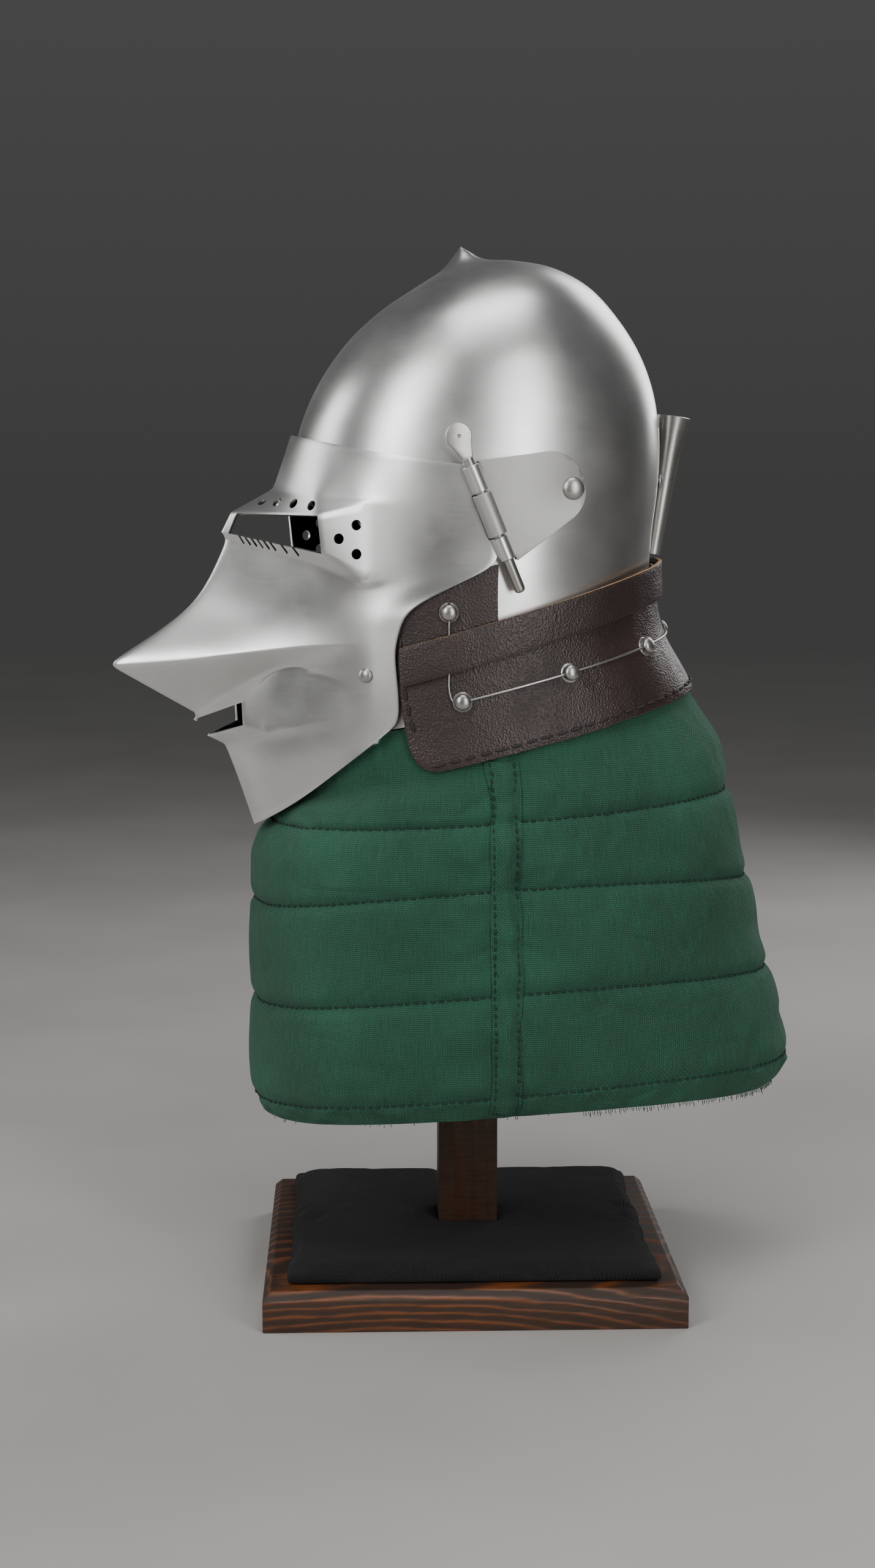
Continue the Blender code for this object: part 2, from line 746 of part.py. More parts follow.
def find_visor_rivets(visor):
    """A matrix for each visor rivet, on the smoothed sheet with its Z out of it."""
    bpy.context.view_layer.update()
    sheet = visor.evaluated_get(bpy.context.evaluated_depsgraph_get())
    start = Vector((FAR, -VISOR_RIVET_REACH, PIVOT_HEIGHT - VISOR_RIVET_DROP))
    _, place, normal, _ = sheet.ray_cast(start, Vector((-1, 0, 0)))
    return {side: mirrored(upright_at(place, normal), side) for _, side in SIDES}


def rivet_profile(head_radius, head_height, shank_radius, seat, grip):
    """A domed rivet from its head down through grip to a plain inner head, seated at seat."""
    inner = seat - grip
    return (
        (0.0, seat + head_height),
        (head_radius * 0.60, seat + head_height * 0.85),
        (head_radius, seat),
        (shank_radius, seat),
        (shank_radius, inner),
        (head_radius * 0.75, inner),
        (head_radius * 0.75, inner - 0.0012),
        (0.0, inner - 0.0012),
    )


def make_visor_rivets(rivets):
    seat = 2 * SEAT_GAP
    grip = VISOR_WALL + 6 * SEAT_GAP
    profile = rivet_profile(RIVET_HEAD_RADIUS, RIVET_HEAD_HEIGHT, RIVET_SHANK_RADIUS, seat, grip)
    for side_name, side in SIDES:
        turned(f"visor_rivet_{side_name}", profile, 10, BRIGHT_STEEL, rivets[side])


def plate_half_width(y, z):
    return clear_of_skull(y, z, PLATE_GAP + PLATE_WALL)


def plate_outline():
    """Corners of the side plate as (reach, height): a round nose at the pivot and the hinge's edge."""
    nose = Vector((PIVOT.y - PLATE_NOSE_AHEAD, PIVOT.z))
    corners = []
    for step in range(24):
        angle = 2 * math.pi * step / 24
        corners.append(nose + PLATE_NOSE_RADIUS * Vector((math.cos(angle), math.sin(angle))))
    low = KNUCKLE_TOP - TOP_KNUCKLE - MIDDLE_KNUCKLE - LOW_KNUCKLE
    for along in (KNUCKLE_TOP + 0.003, low):
        y, z = hinge_point(along)
        corners.append(Vector((y + PLATE_BEHIND_HINGE + PLATE_KNUCKLE_RADIUS, z)))
    middle_low = KNUCKLE_TOP - TOP_KNUCKLE - MIDDLE_KNUCKLE
    for along in (KNUCKLE_TOP - TOP_KNUCKLE, middle_low):
        y, z = hinge_point(along)
        corners.append(Vector((y + PLATE_BEHIND_HINGE, z)))
    return corners


def make_side_plates():
    corners = plate_outline()
    outline = [corners[k] for k in convex_hull_2d(corners)]
    for side_name, side in SIDES:
        bm = bmesh.new()
        bm.faces.new([bm.verts.new((0.0, corner.x, corner.y)) for corner in outline])
        cut_into_strips(bm)
        for vert in bm.verts:
            y, z = vert.co.y, vert.co.z
            vert.co.x = plate_half_width(y, z)
        face_out(bm, Vector((0, PIVOT.y, PIVOT.z)))
        if side < 0:
            bmesh.ops.scale(bm, vec=(-1, 1, 1), verts=bm.verts)
            bmesh.ops.reverse_faces(bm, faces=bm.faces)
        obj = link(f"side_plate_{side_name}", mesh_of(bm, f"side_plate_{side_name}"), STEEL)
        add_wall(obj, PLATE_WALL)
        group = cutter_group(f"side_plate_cutters_{side_name}")
        add_plate_cutters(group, side_name, side)
        add_boolean(obj, "holes", "DIFFERENCE", group)
        top = KNUCKLE_TOP - TOP_KNUCKLE
        name = f"plate_knuckle_{side_name}"
        roll = knuckle_tool(name, PLATE_KNUCKLE_RADIUS, top, MIDDLE_KNUCKLE, side)
        add_boolean(obj, "roll", "UNION", roll)
        bores = make_pin_bores(f"plate_pin_bores_{side_name}")
        add_boolean(obj, "pin_bore", "DIFFERENCE", bores)


def cut_into_strips(bm):
    """Cuts a flat plate across and along, so that it can follow the skull's curve."""
    for normal in (Vector((0, 1, 0)), Vector((0, 0, 1))):
        heights = [vert.co.dot(normal) for vert in bm.verts]
        level = min(heights) + PLATE_STRIP
        while level < max(heights) - PLATE_STRIP / 3:
            geometry = bm.verts[:] + bm.edges[:] + bm.faces[:]
            bmesh.ops.bisect_plane(bm, geom=geometry, plane_co=normal * level, plane_no=normal)
            level += PLATE_STRIP


def add_plate_cutters(group, side_name, side):
    room = VISOR_KNUCKLE_RADIUS + 5 * KNUCKLE_GAP
    low = KNUCKLE_TOP - TOP_KNUCKLE - MIDDLE_KNUCKLE
    for part, top, length in (
        ("top", KNUCKLE_TOP + 0.02, TOP_KNUCKLE + 0.02),
        ("low", low, LOW_KNUCKLE + 0.02),
    ):
        matrix = hinge_matrix(top - length / 2, side)
        name = f"visor_knuckle_room_{part}_{side_name}"
        hole_cutter(name, room, matrix, group, 14, length + 2 * KNUCKLE_GAP)
    matrix = pivot_matrix(side)
    hole_cutter(f"plate_pivot_hole_{side_name}", PIVOT_SHANK_RADIUS + SEAT_GAP, matrix, group, 14, 0.02)


def pivot_matrix(side):
    """A matrix at a pivot, its Z straight out of the helmet's side."""
    x = on_skull(*spot_beside(PIVOT.y, PIVOT.z)).x
    matrix = Matrix.Translation((side * x, PIVOT.y, PIVOT.z))
    return matrix @ Matrix.Rotation(side * math.pi / 2, 4, "Y")


def around_pivot(radius, half_width_at):
    """Half widths at points round the pivot."""
    turns = [2 * math.pi * step / 12 for step in range(12)]
    return [
        half_width_at(PIVOT.y + radius * math.cos(turn), PIVOT.z + radius * math.sin(turn))
        for turn in turns
    ]


def make_pivot_rivets():
    """Rivets that hold the side plates to the skull and let them turn."""
    outermost = max(around_pivot(PIVOT_HEAD_RADIUS, plate_half_width))
    innermost = min(around_pivot(PIVOT_HEAD_RADIUS, lambda y, z: beside_skull(y, z, 0.0)))
    seat = outermost + 2 * SEAT_GAP - beside_skull(PIVOT.y, PIVOT.z, 0.0)
    grip = outermost - innermost + 3 * SEAT_GAP + 1.1 * SKULL_WALL + SKULL_FLATS / 2
    for side_name, side in SIDES:
        profile = rivet_profile(
            PIVOT_HEAD_RADIUS, PIVOT_HEAD_HEIGHT, PIVOT_SHANK_RADIUS, seat, grip
        )
        turned(f"pivot_rivet_{side_name}", profile, 16, BRIGHT_STEEL, pivot_matrix(side))


def make_hinge_pins():
    """Loose pins with flat teardrop heads, one down each hinge."""
    low = KNUCKLE_TOP - TOP_KNUCKLE - MIDDLE_KNUCKLE - LOW_KNUCKLE - PIN_TAIL
    for side_name, side in SIDES:
        head_at = KNUCKLE_TOP + PIN_HEAD_RISE
        bm = bmesh.new()
        thick = PIN_HEAD_THICKNESS / 2
        corners = []
        for step in range(20):
            angle = 2 * math.pi * step / 20
            corners.append((PIN_HEAD_RADIUS * math.cos(angle), PIN_HEAD_RADIUS * math.sin(angle)))
        foot = KNUCKLE_GAP - PIN_HEAD_RISE
        corners += [(-PIN_NECK / 2, foot), (PIN_NECK / 2, foot)]
        verts = [bm.verts.new((x, y, z)) for x in (-thick, thick) for y, z in corners]
        bmesh.ops.convex_hull(bm, input=verts)
        name = f"hinge_pin_{side_name}"
        obj = link(name, mesh_of(bm, name), BRIGHT_STEEL)
        obj.matrix_world = hinge_matrix(head_at, side)
        top = KNUCKLE_TOP + PIN_HEAD_RADIUS / 2
        matrix = hinge_matrix((top + low) / 2, side)
        shank = hide_cutter(rod(f"{name}_shank", PIN_RADIUS, top - low, matrix, 12, CUTTERS))
        add_boolean(obj, "shank", "UNION", shank)


def make_skull():
    columns, rows = 13, 15
    edges = {}
    for column in range(columns + 1):
        angle = math.pi * column / columns
        edges[column] = (angle, row_at_line(angle, SKULL_EDGE))

    def place(column, row):
        angle, last = edges[column]
        point = on_skull(angle, last * (row / rows) ** 0.9)
        if column in (0, columns):
            point.x = 0.0
        return point

    bm = lofted(columns, rows, place, Vector((0, 0, PIVOT_HEIGHT)))
    obj = link("skull", mesh_of(bm, "skull"), STEEL)
    add_mirror(obj)
    add_wall(obj, SKULL_WALL)
    add_boolean(obj, "face_opening", "DIFFERENCE", make_face_cutter())
    add_boolean(obj, "rivet_holes", "DIFFERENCE", make_skull_holes())


def make_face_cutter():
    """An arched prism that opens the skull's front."""
    bm = bmesh.new()
    bmesh.ops.create_circle(bm, cap_ends=True, segments=40, radius=1.0)
    spring = PIVOT_HEIGHT + FACE_ABOVE_PIVOT - FACE_ARCH
    power = 2 / FACE_ARCH_FULLNESS
    for vert in bm.verts:
        across, up = vert.co.x, vert.co.y
        x = math.copysign(abs(across) ** power, across) * FACE_WIDTH / 2
        z = spring + FACE_ARCH * max(0.0, up) ** power
        vert.co = (x, -FACE_DEPTH, z if up > -0.001 else spring - FAR)
    bmesh.ops.remove_doubles(bm, verts=bm.verts, dist=1e-6)
    extruded = bmesh.ops.extrude_face_region(bm, geom=bm.faces[:])
    moved = [item for item in extruded["geom"] if isinstance(item, bmesh.types.BMVert)]
    bmesh.ops.translate(bm, vec=(0, -FAR, 0), verts=moved)
    bmesh.ops.recalc_face_normals(bm, faces=bm.faces)
    return hide_cutter(link("face_cutter", mesh_of(bm, "face_cutter", False), None, CUTTERS))


def stud_spots():
    """(name, angle, row number, side) of each stud that goes through leather and skull."""
    spots = []
    for side_name, side in SIDES:
        angle, s = spot_on_line(HIGH_STUD_REACH, HIGH_STUD_LINE)
        spots.append((f"vervelle_high_{side_name}", angle, s, side))
        for k, reach in enumerate(STUD_REACHES):
            angle, s = spot_on_line(reach, STUD_LINE)
            spots.append((f"vervelle_{k + 1}_{side_name}", angle, s, side))
    spots.append(("vervelle_nape", math.pi, row_at_line(math.pi, STUD_LINE), 1))
    return spots


def make_skull_holes():
    group = cutter_group("skull_holes")
    for name, angle, s, side in stud_spots():
        hole_cutter(f"{name}_hole", STUD_STEM_RADIUS + SEAT_GAP, frame_on(angle, s, side), group, 10)
    for side_name, side in SIDES:
        radius = PIVOT_SHANK_RADIUS + SEAT_GAP
        hole_cutter(f"pivot_hole_{side_name}", radius, pivot_matrix(side), group, 12, 0.02)
        matrix = holder_rivet_matrix(side)
        hole_cutter(f"holder_rivet_hole_{side_name}", RIVET_SHANK_RADIUS + SEAT_GAP, matrix, group, 8, 0.02)
    return group


def wire_direction(name, angle, s):
    """The way that the wire runs through a stud on the left: down through the high ones, else along."""
    y = on_skull(angle, s).y
    if "high" in name:
        z = HIGH_STUD_LINE.at(y)
        return on_skull(*spot_beside(y, z - 0.002)) - on_skull(*spot_beside(y, z + 0.002))
    step = 0.03
    ends = [min(math.pi, max(0.0, angle + turn)) for turn in (-step, step)]
    first, last = [on_skull(end, row_at_line(end, STUD_LINE)) for end in ends]
    return Vector((1.0, 0.0, 0.0)) if angle > math.pi - step else last - first


def make_vervelles():
    """Domed studs through the leather and the skull, each pierced for the wire."""
    inner = -SKULL_WALL - SKULL_FLATS
    underside = STUD_TOP - 0.52 * STUD_HEIGHT
    profile = (
        (0.0, STUD_TOP),
        (STUD_RADIUS * 0.72, STUD_TOP - 0.16 * STUD_HEIGHT),
        (STUD_RADIUS, underside + 0.0004),
        (STUD_STEM_RADIUS, underside),
        (STUD_STEM_RADIUS, inner),
        (STUD_INNER_RADIUS, inner),
        (STUD_INNER_RADIUS, inner - 0.0012),
        (0.0, inner - 0.0012),
    )
    for name, angle, s, side in stud_spots():
        matrix = frame_on(angle, s, side)
        obj = turned(name, profile, 9, BRIGHT_STEEL, matrix)
        aim = upright_at(outside_skull(angle, s, wire_lift()), wire_direction(name, angle, s))
        radius = WIRE_RADIUS + WIRE_HOLE_CLEARANCE
        drill = hole_cutter(f"{name}_drill", radius, mirrored(aim, side), CUTTERS, 8, 0.016)
        add_boolean(obj, "wire_hole", "DIFFERENCE", drill)


def wire_lift():
    """How far off the skull the wire runs through the studs."""
    return LEATHER_OUTSIDE + WIRE_LIFT - WIRE_RADIUS


def wire_route():
    """Points of the wire on the left, from inside the high stud down, then round to the nape."""
    high, first = [spot_on_line(y, line) for y, line in (
        (HIGH_STUD_REACH, HIGH_STUD_LINE),
        (STUD_REACHES[0], STUD_LINE),
    )]
    lying = LEATHER_OUTSIDE + SEAT_GAP + WIRE_RADIUS
    route = []
    high_point = outside_skull(*high, 0)
    drop_y = high_point.y
    foot_z = STUD_LINE.at(STUD_REACHES[0])
    for share, lift in ((0.0, wire_lift()), (0.12, wire_lift()), (0.24, lying), (0.5, lying), (0.72, lying)):
        z = high_point.z + (foot_z - high_point.z) * share
        route.append(outside_skull(*spot_beside(drop_y, z), lift))
    for y_share, above in ((0.04, 0.0085), (0.26, 0.0026), (0.6, 0.0), (1.0, 0.0), (1.4, 0.0)):
        y = drop_y + (STUD_REACHES[0] - drop_y) * y_share
        route.append(outside_skull(*spot_beside(y, STUD_LINE.at(y) + above), wire_lift()))
    stations = [first[0]] + [spot_on_line(reach, STUD_LINE)[0] for reach in STUD_REACHES[1:]]
    stations.append(math.pi)
    for start, end in zip(stations, stations[1:]):
        for share in (0.12, 0.36, 0.64, 0.88, 1.0):
            angle = start + (end - start) * share
            if start == first[0] and share < 0.3:
                continue
            route.append(outside_skull(angle, row_at_line(angle, STUD_LINE), wire_lift()))
    return route


def make_wire():
    left = wire_route()
    right = [Vector((-point.x, point.y, point.z)) for point in reversed(left[:-1])]
    left[-1].x = 0.0
    points = left + right
    curve = bpy.data.curves.new("vervelle_wire", "CURVE")
    curve.dimensions = "3D"
    curve.bevel_depth = WIRE_RADIUS
    curve.bevel_resolution = 1
    curve.use_fill_caps = True
    spline = curve.splines.new("POLY")
    spline.points.add(len(points) - 1)
    for spline_point, point in zip(spline.points, points):
        spline_point.co = (*point, 1.0)
    obj = bpy.data.objects.new("vervelle_wire", curve)
    curve.materials.append(BRIGHT_STEEL)
    PARTS.objects.link(obj)


def leather_foot_at(y):
    """Height of the leather's lower edge, rounded up at its front corner."""
    ahead = LEATHER_CORNER - (y + LEATHER_FRONT)
    if ahead <= 0:
        return LEATHER_FOOT.at(y)
    return LEATHER_FOOT.at(y) + LEATHER_CORNER - math.sqrt(
        max(0.0, LEATHER_CORNER**2 - ahead**2)
    )


def band_angles(front_reach, line, count):
    """Angles from a band's front end round to the nape, on the left."""
    start = spot_on_line(-front_reach, line)[0]
    return [start + (math.pi - start) * k / count for k in range(count + 1)]


def make_leather():
    """The L-shaped band that the aventail hangs from."""
    count = 18
    angles = band_angles(LEATHER_FRONT, STUD_LINE, count)
    step_angle = spot_on_line(-LEATHER_STEP, STRAP_TOP)[0]
    near = min(range(count + 1), key=lambda k: abs(angles[k] - step_angle))
    angles[near] = step_angle
    under_strap = Line(STRAP_TOP.rise - LEATHER_UNDER_STRAP, STRAP_TOP.slope)
    levels = 4

    def place(column, row):
        angle = angles[column]
        foot = on_skull(angle, row_at_line(angle, LEATHER_FOOT))
        foot_line = Line(leather_foot_at(foot.y) - LEATHER_FOOT.slope * foot.y, LEATHER_FOOT.slope)
        low = row_at_line(angle, foot_line)
        studs = row_at_line(angle, STUD_LINE)
        top = row_at_line(angle, LEATHER_WING_TOP)
        s = (low, (low + studs) / 2, studs, row_at_line(angle, under_strap), top)[row]
        point = outside_skull(angle, s, LEATHER_OUTSIDE)
        if column == count:
            point.x = 0.0
        return point

    bm = bmesh.new()
    bmesh.ops.create_grid(bm, x_segments=count, y_segments=levels, size=0.5)
    beyond = []
    for face in bm.faces:
        centre = face.calc_center_median()
        if centre.y > 0.5 - 1 / levels and (centre.x + 0.5) * count > near:
            beyond.append(face)
    for vert in bm.verts:
        column = round((vert.co.x + 0.5) * count)
        vert.co = place(column, round((vert.co.y + 0.5) * levels))
    bmesh.ops.delete(bm, geom=beyond, context="FACES")
    face_out(bm, Vector((0, 0, STUD_LINE.rise)))
    obj = link("aventail_leather", mesh_of(bm, "aventail_leather"), LEATHER)
    add_mirror(obj)
    add_wall(obj, LEATHER_WALL)
    group = cutter_group("leather_holes")
    for name, angle, s, side in stud_spots():
        matrix = frame_on(angle, s, side)
        hole_cutter(f"{name}_leather_hole", STUD_STEM_RADIUS + SEAT_GAP, matrix, group, 10)
    add_boolean(obj, "stud_holes", "DIFFERENCE", group)


def make_strap():
    """A plain strap round the nape, over the leather band."""
    count = 18
    low = Line(STRAP_TOP.rise - STRAP_HEIGHT, STRAP_TOP.slope)
    top_angles = band_angles(STRAP_FRONT, STRAP_TOP, count)
    low_angles = band_angles(STRAP_FRONT - STRAP_SLANT, low, count)

    def place(column, row):
        line, angle = ((STRAP_TOP, top_angles[column]), (low, low_angles[column]))[row]
        point = outside_skull(angle, row_at_line(angle, line), STRAP_INSIDE + STRAP_WALL)
        if column == count:
            point.x = 0.0
        return point

    bm = lofted(count, 1, place, Vector((0, 0, STRAP_TOP.rise)))
    obj = link("nape_strap", mesh_of(bm, "nape_strap"), LEATHER)
    add_mirror(obj)
    add_wall(obj, STRAP_WALL)


def cloth_point(angle, row):
    """A point of the aventail's outer face; rows 0 and 1 lie inside the leather band."""
    if row < 2:
        line = CLOTH_TOP if row == 0 else Line(LEATHER_FOOT.rise - 0.002, LEATHER_FOOT.slope)
        return outside_skull(angle, row_at_line(angle, line), -COLLAR_INSET)
    ring = CLOTH_RINGS[row - 2]
    front = (ring.front_reach * AVENTAIL_LENGTH, AVENTAIL_HEM_HEIGHT + ring.front_rise * AVENTAIL_DROP)
    back = (ring.back_reach * AVENTAIL_LENGTH, AVENTAIL_HEM_HEIGHT + ring.back_rise * AVENTAIL_DROP)
    half_width = ring.half_width * AVENTAIL_WIDTH
    lift = ring.lift * AVENTAIL_DROP
    return ring_point(front, back, half_width, 0.47, AVENTAIL_FULLNESS, angle, lift)


def make_aventail():
    columns = 16
    rows = len(CLOTH_RINGS) + 1

    def place(column, row):
        point = cloth_point(math.pi * column / columns, row)
        if column in (0, columns):
            point.x = 0.0
        return point

    bm = lofted(columns, rows, place, Vector((0, 0, AVENTAIL_HEM_HEIGHT + AVENTAIL_DROP / 2)))
    obj = link("aventail", mesh_of(bm, "aventail"), CLOTH)
    add_mirror(obj)
    add_wall(obj, AVENTAIL_WALL)


def holder_frame():
    """A matrix at the foot of the plume holder, its Z up the tube."""
    z = PIVOT_HEIGHT - HOLDER_DROP
    s = row_at_line(math.pi, Line(z, 0.0))
    y = on_skull(math.pi, s).y + SEAT_GAP + HOLDER_PLATE_WALL * 0.6 + HOLDER_FOOT_RADIUS
    return Matrix.Translation((0, y, z)) @ Matrix.Rotation(-HOLDER_LEAN, 4, "X")


def holder_rivet_matrix(side):
    z = PIVOT_HEIGHT + HOLDER_RIVET_RISE
    low, high = math.pi / 2, math.pi
    for _ in range(40):
        angle = (low + high) / 2
        s = row_at_line(angle, Line(z, 0.0))
        if on_skull(angle, s).x > HOLDER_RIVET_OUT:
            low = angle
        else:
            high = angle
    return frame_on(angle, s, side)


def make_plume_holder():
    """A flared tube whose back plate is riveted to the nape."""
    wall = HOLDER_WALL
    profile = (
        (HOLDER_RIM_RADIUS, HOLDER_LENGTH),
        (HOLDER_RIM_RADIUS, HOLDER_LENGTH - wall),
        (HOLDER_TOP_RADIUS, HOLDER_LENGTH * 0.95),
        (HOLDER_FOOT_RADIUS, 0.0),
        (HOLDER_FOOT_RADIUS - wall, 0.0),
        (HOLDER_TOP_RADIUS - wall, HOLDER_LENGTH * 0.95),
        (HOLDER_RIM_RADIUS - wall, HOLDER_LENGTH),
        (HOLDER_RIM_RADIUS, HOLDER_LENGTH),
    )
    obj = turned("plume_holder", profile, 16, BRIGHT_STEEL, holder_frame())
    add_boolean(obj, "back_plate", "UNION", make_holder_plate())
    bore = hide_cutter(holder_bore())
    add_boolean(obj, "bore", "DIFFERENCE", bore)
    for side_name, side in SIDES:
        matrix = holder_rivet_matrix(side)
        name = f"holder_hole_{side_name}"
        cutter = hole_cutter(name, RIVET_SHANK_RADIUS + SEAT_GAP, matrix, CUTTERS, 8, 0.01)
        add_boolean(obj, name, "DIFFERENCE", cutter)
        seat = 2 * SEAT_GAP + HOLDER_PLATE_WALL + SEAT_GAP
        profile = rivet_profile(
            RIVET_HEAD_RADIUS, RIVET_HEAD_HEIGHT, RIVET_SHANK_RADIUS, seat, seat + SKULL_WALL + SKULL_FLATS
        )
        turned(f"holder_rivet_{side_name}", profile, 10, BRIGHT_STEEL, matrix)


def holder_bore():
    """The tube's hollow, which keeps the back plate out of it."""
    bm = bmesh.new()
    bmesh.ops.create_cone(
        bm,
        cap_ends=True,
        segments=16,
        radius1=HOLDER_FOOT_RADIUS - HOLDER_WALL,
        radius2=HOLDER_TOP_RADIUS - HOLDER_WALL,
        depth=HOLDER_LENGTH * 0.95,
    )
    bore = link("holder_bore", mesh_of(bm, "holder_bore", False), None, CUTTERS)
    bore.matrix_world = holder_frame() @ Matrix.Translation((0, 0, HOLDER_LENGTH * 0.95 / 2))
    return bore


def make_holder_plate():
    z_low = PIVOT_HEIGHT - HOLDER_DROP + 0.002
    z_high = PIVOT_HEIGHT + HOLDER_PLATE_TOP

    def place(column, row):
        z = z_low + (z_high - z_low) * (1 - row / 4)
        out = HOLDER_PLATE_WIDTH / 2 * (column / 3 - 1)
        s = row_at_line(math.pi, Line(z, 0.0))
        _, _, half_width = skull_ring(s)
        across = (min(1.0, abs(out) / half_width)) ** (SKULL_FULLNESS / 2)
        angle = math.pi - math.asin(across)
        point = outside_skull(angle, s, SEAT_GAP + HOLDER_PLATE_WALL)
        point.x = math.copysign(point.x, out) if out else 0.0
        return point

    bm = lofted(6, 4, place, Vector((0, 0, PIVOT_HEIGHT)))
    plate = link("holder_plate", mesh_of(bm, "holder_plate", False), None, CUTTERS)
    add_wall(plate, HOLDER_PLATE_WALL)
    return hide_cutter(plate)


def box_piece(name, size, height, material, bevel=0.0):
    """A square slab centred on the post, from one height up by the size's third value."""
    bm = bmesh.new()
    bmesh.ops.create_cube(bm, size=1.0)
    bmesh.ops.scale(bm, vec=size, verts=bm.verts)
    if bevel:
        top = [edge for edge in bm.edges if all(vert.co.z > 0 for vert in edge.verts)]
        bmesh.ops.bevel(
            bm, geom=top, offset=bevel, segments=1, profile=0.5, affect="EDGES", material=-1
        )
    obj = link(name, mesh_of(bm, name, False), material)
    obj.matrix_world = Matrix.Rotation(STAND_TURN, 4, "Z") @ Matrix.Translation(
        (0, 0, height + size[2] / 2)
    )
    return obj


def make_stand():
    base_size = (BASE_WIDTH, BASE_WIDTH, BASE_THICKNESS)
    box_piece("stand_base", base_size, 0.0, WOOD, BASE_CHAMFER)
    pad_size = (PAD_WIDTH, PAD_WIDTH, PAD_THICKNESS)
    pad = box_piece("stand_cloth", pad_size, BASE_THICKNESS + SEAT_GAP, BLACK_CLOTH, PAD_THICKNESS / 3)
    hole_size = (POST_WIDTH + 2 * SEAT_GAP, POST_WIDTH + 2 * SEAT_GAP, 4 * PAD_THICKNESS)
    hole = box_piece("post_hole", hole_size, BASE_THICKNESS - PAD_THICKNESS, None)
    PARTS.objects.unlink(hole)
    CUTTERS.objects.link(hole)
    add_boolean(pad, "post_hole", "DIFFERENCE", hide_cutter(hole))
    block_foot = make_head_block()
    post_foot = BASE_THICKNESS + SEAT_GAP
    post_size = (POST_WIDTH, POST_WIDTH, block_foot - SEAT_GAP - post_foot)
    box_piece("stand_post", post_size, post_foot, WOOD)


def make_head_block():
    """A plain block that fills the skull's crown and carries the helmet; returns its foot's height."""
    columns, rows = 12, 4
    first = 2.0
    room = SKULL_WALL + SKULL_FLATS + SEAT_GAP
    foot = min(
        outside_skull(math.pi * k / columns, BLOCK_TOP_SHARE, -room).z for k in range(columns + 1)
    )

    def place(column, row):
        angle = math.pi * column / columns
        s = first + (BLOCK_TOP_SHARE - first) * row / rows
        point = outside_skull(angle, s, -room)
        if column in (0, columns):
            point.x = 0.0
        return point

    bm = lofted(columns, rows, place, Vector((0, 0, foot)))
    bmesh.ops.mirror(bm, geom=bm.verts[:] + bm.edges[:] + bm.faces[:], axis="X", merge_dist=1e-5)
    bmesh.ops.remove_doubles(bm, verts=bm.verts, dist=1e-6)
    low = [edge for edge in bm.edges if edge.is_boundary and edge.verts[0].co.z < 0.5 * (
        foot + SKULL_FOOT + SKULL_HEIGHT
    )]
    top = [edge for edge in bm.edges if edge.is_boundary and edge not in low]
    bmesh.ops.holes_fill(bm, edges=top)
    skirt = bmesh.ops.extrude_edge_only(bm, edges=low)
    lowered = [item for item in skirt["geom"] if isinstance(item, bmesh.types.BMVert)]
    for vert in lowered:
        vert.co.z = foot - 0.012
    rim = [item for item in skirt["geom"] if isinstance(item, bmesh.types.BMEdge)]
    bmesh.ops.holes_fill(bm, edges=[edge for edge in rim if edge.is_boundary])
    bmesh.ops.recalc_face_normals(bm, faces=bm.faces)
    link("head_block", mesh_of(bm, "head_block"), WOOD)
    return foot - 0.012


def main():
    make_skull()
    make_visor()
    make_side_plates()
    make_pivot_rivets()
    make_hinge_pins()
    make_leather()
    make_strap()
    make_vervelles()
    make_wire()
    make_plume_holder()
    make_aventail()
    make_stand()


main()
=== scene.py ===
"""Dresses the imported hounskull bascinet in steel, leather, quilted cloth and wood, in a plain studio.

Metres, +Z up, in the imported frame. The helmet faces -Y and its own left is at +X.
"""

import logging
import math
import random
from collections.abc import Callable, Iterable, Sequence
from dataclasses import dataclass
from enum import Enum
from typing import NamedTuple

import bmesh
import bpy
from mathutils import Matrix, Vector, noise
from mathutils.geometry import convex_hull_2d


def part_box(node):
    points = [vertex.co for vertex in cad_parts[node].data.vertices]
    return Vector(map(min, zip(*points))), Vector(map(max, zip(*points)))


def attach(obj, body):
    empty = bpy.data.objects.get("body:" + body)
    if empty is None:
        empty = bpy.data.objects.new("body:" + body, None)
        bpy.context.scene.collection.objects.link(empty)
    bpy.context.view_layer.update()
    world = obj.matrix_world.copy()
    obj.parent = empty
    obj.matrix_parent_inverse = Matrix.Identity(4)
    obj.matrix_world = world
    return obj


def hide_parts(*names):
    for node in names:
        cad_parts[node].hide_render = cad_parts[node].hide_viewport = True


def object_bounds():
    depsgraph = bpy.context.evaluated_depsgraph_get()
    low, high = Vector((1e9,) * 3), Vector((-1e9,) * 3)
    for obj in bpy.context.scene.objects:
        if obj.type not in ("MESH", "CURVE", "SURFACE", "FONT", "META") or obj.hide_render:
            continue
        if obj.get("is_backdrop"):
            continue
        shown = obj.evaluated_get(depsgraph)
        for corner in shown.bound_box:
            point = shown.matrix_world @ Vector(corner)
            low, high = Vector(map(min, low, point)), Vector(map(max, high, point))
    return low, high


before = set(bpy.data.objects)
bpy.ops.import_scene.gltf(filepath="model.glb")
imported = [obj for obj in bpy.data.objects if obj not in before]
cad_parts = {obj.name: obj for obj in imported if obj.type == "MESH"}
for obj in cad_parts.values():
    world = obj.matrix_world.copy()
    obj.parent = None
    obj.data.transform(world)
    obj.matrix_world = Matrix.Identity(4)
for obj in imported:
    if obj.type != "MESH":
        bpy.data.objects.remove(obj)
LOG = logging.getLogger("bascinet")
FLIP = Matrix.Diagonal((-1, 1, 1, 1))
SIDES = (("left", 1), ("right", -1))
Piece = bpy.types.Object
Sheet = bmesh.types.BMesh
Socket = bpy.types.NodeSocket
Look = bpy.types.Material
Place = Callable[[int, int], Vector]
Pair = tuple[float, float]
Triple = tuple[float, float, float]
Colour = tuple[float, float, float, float]


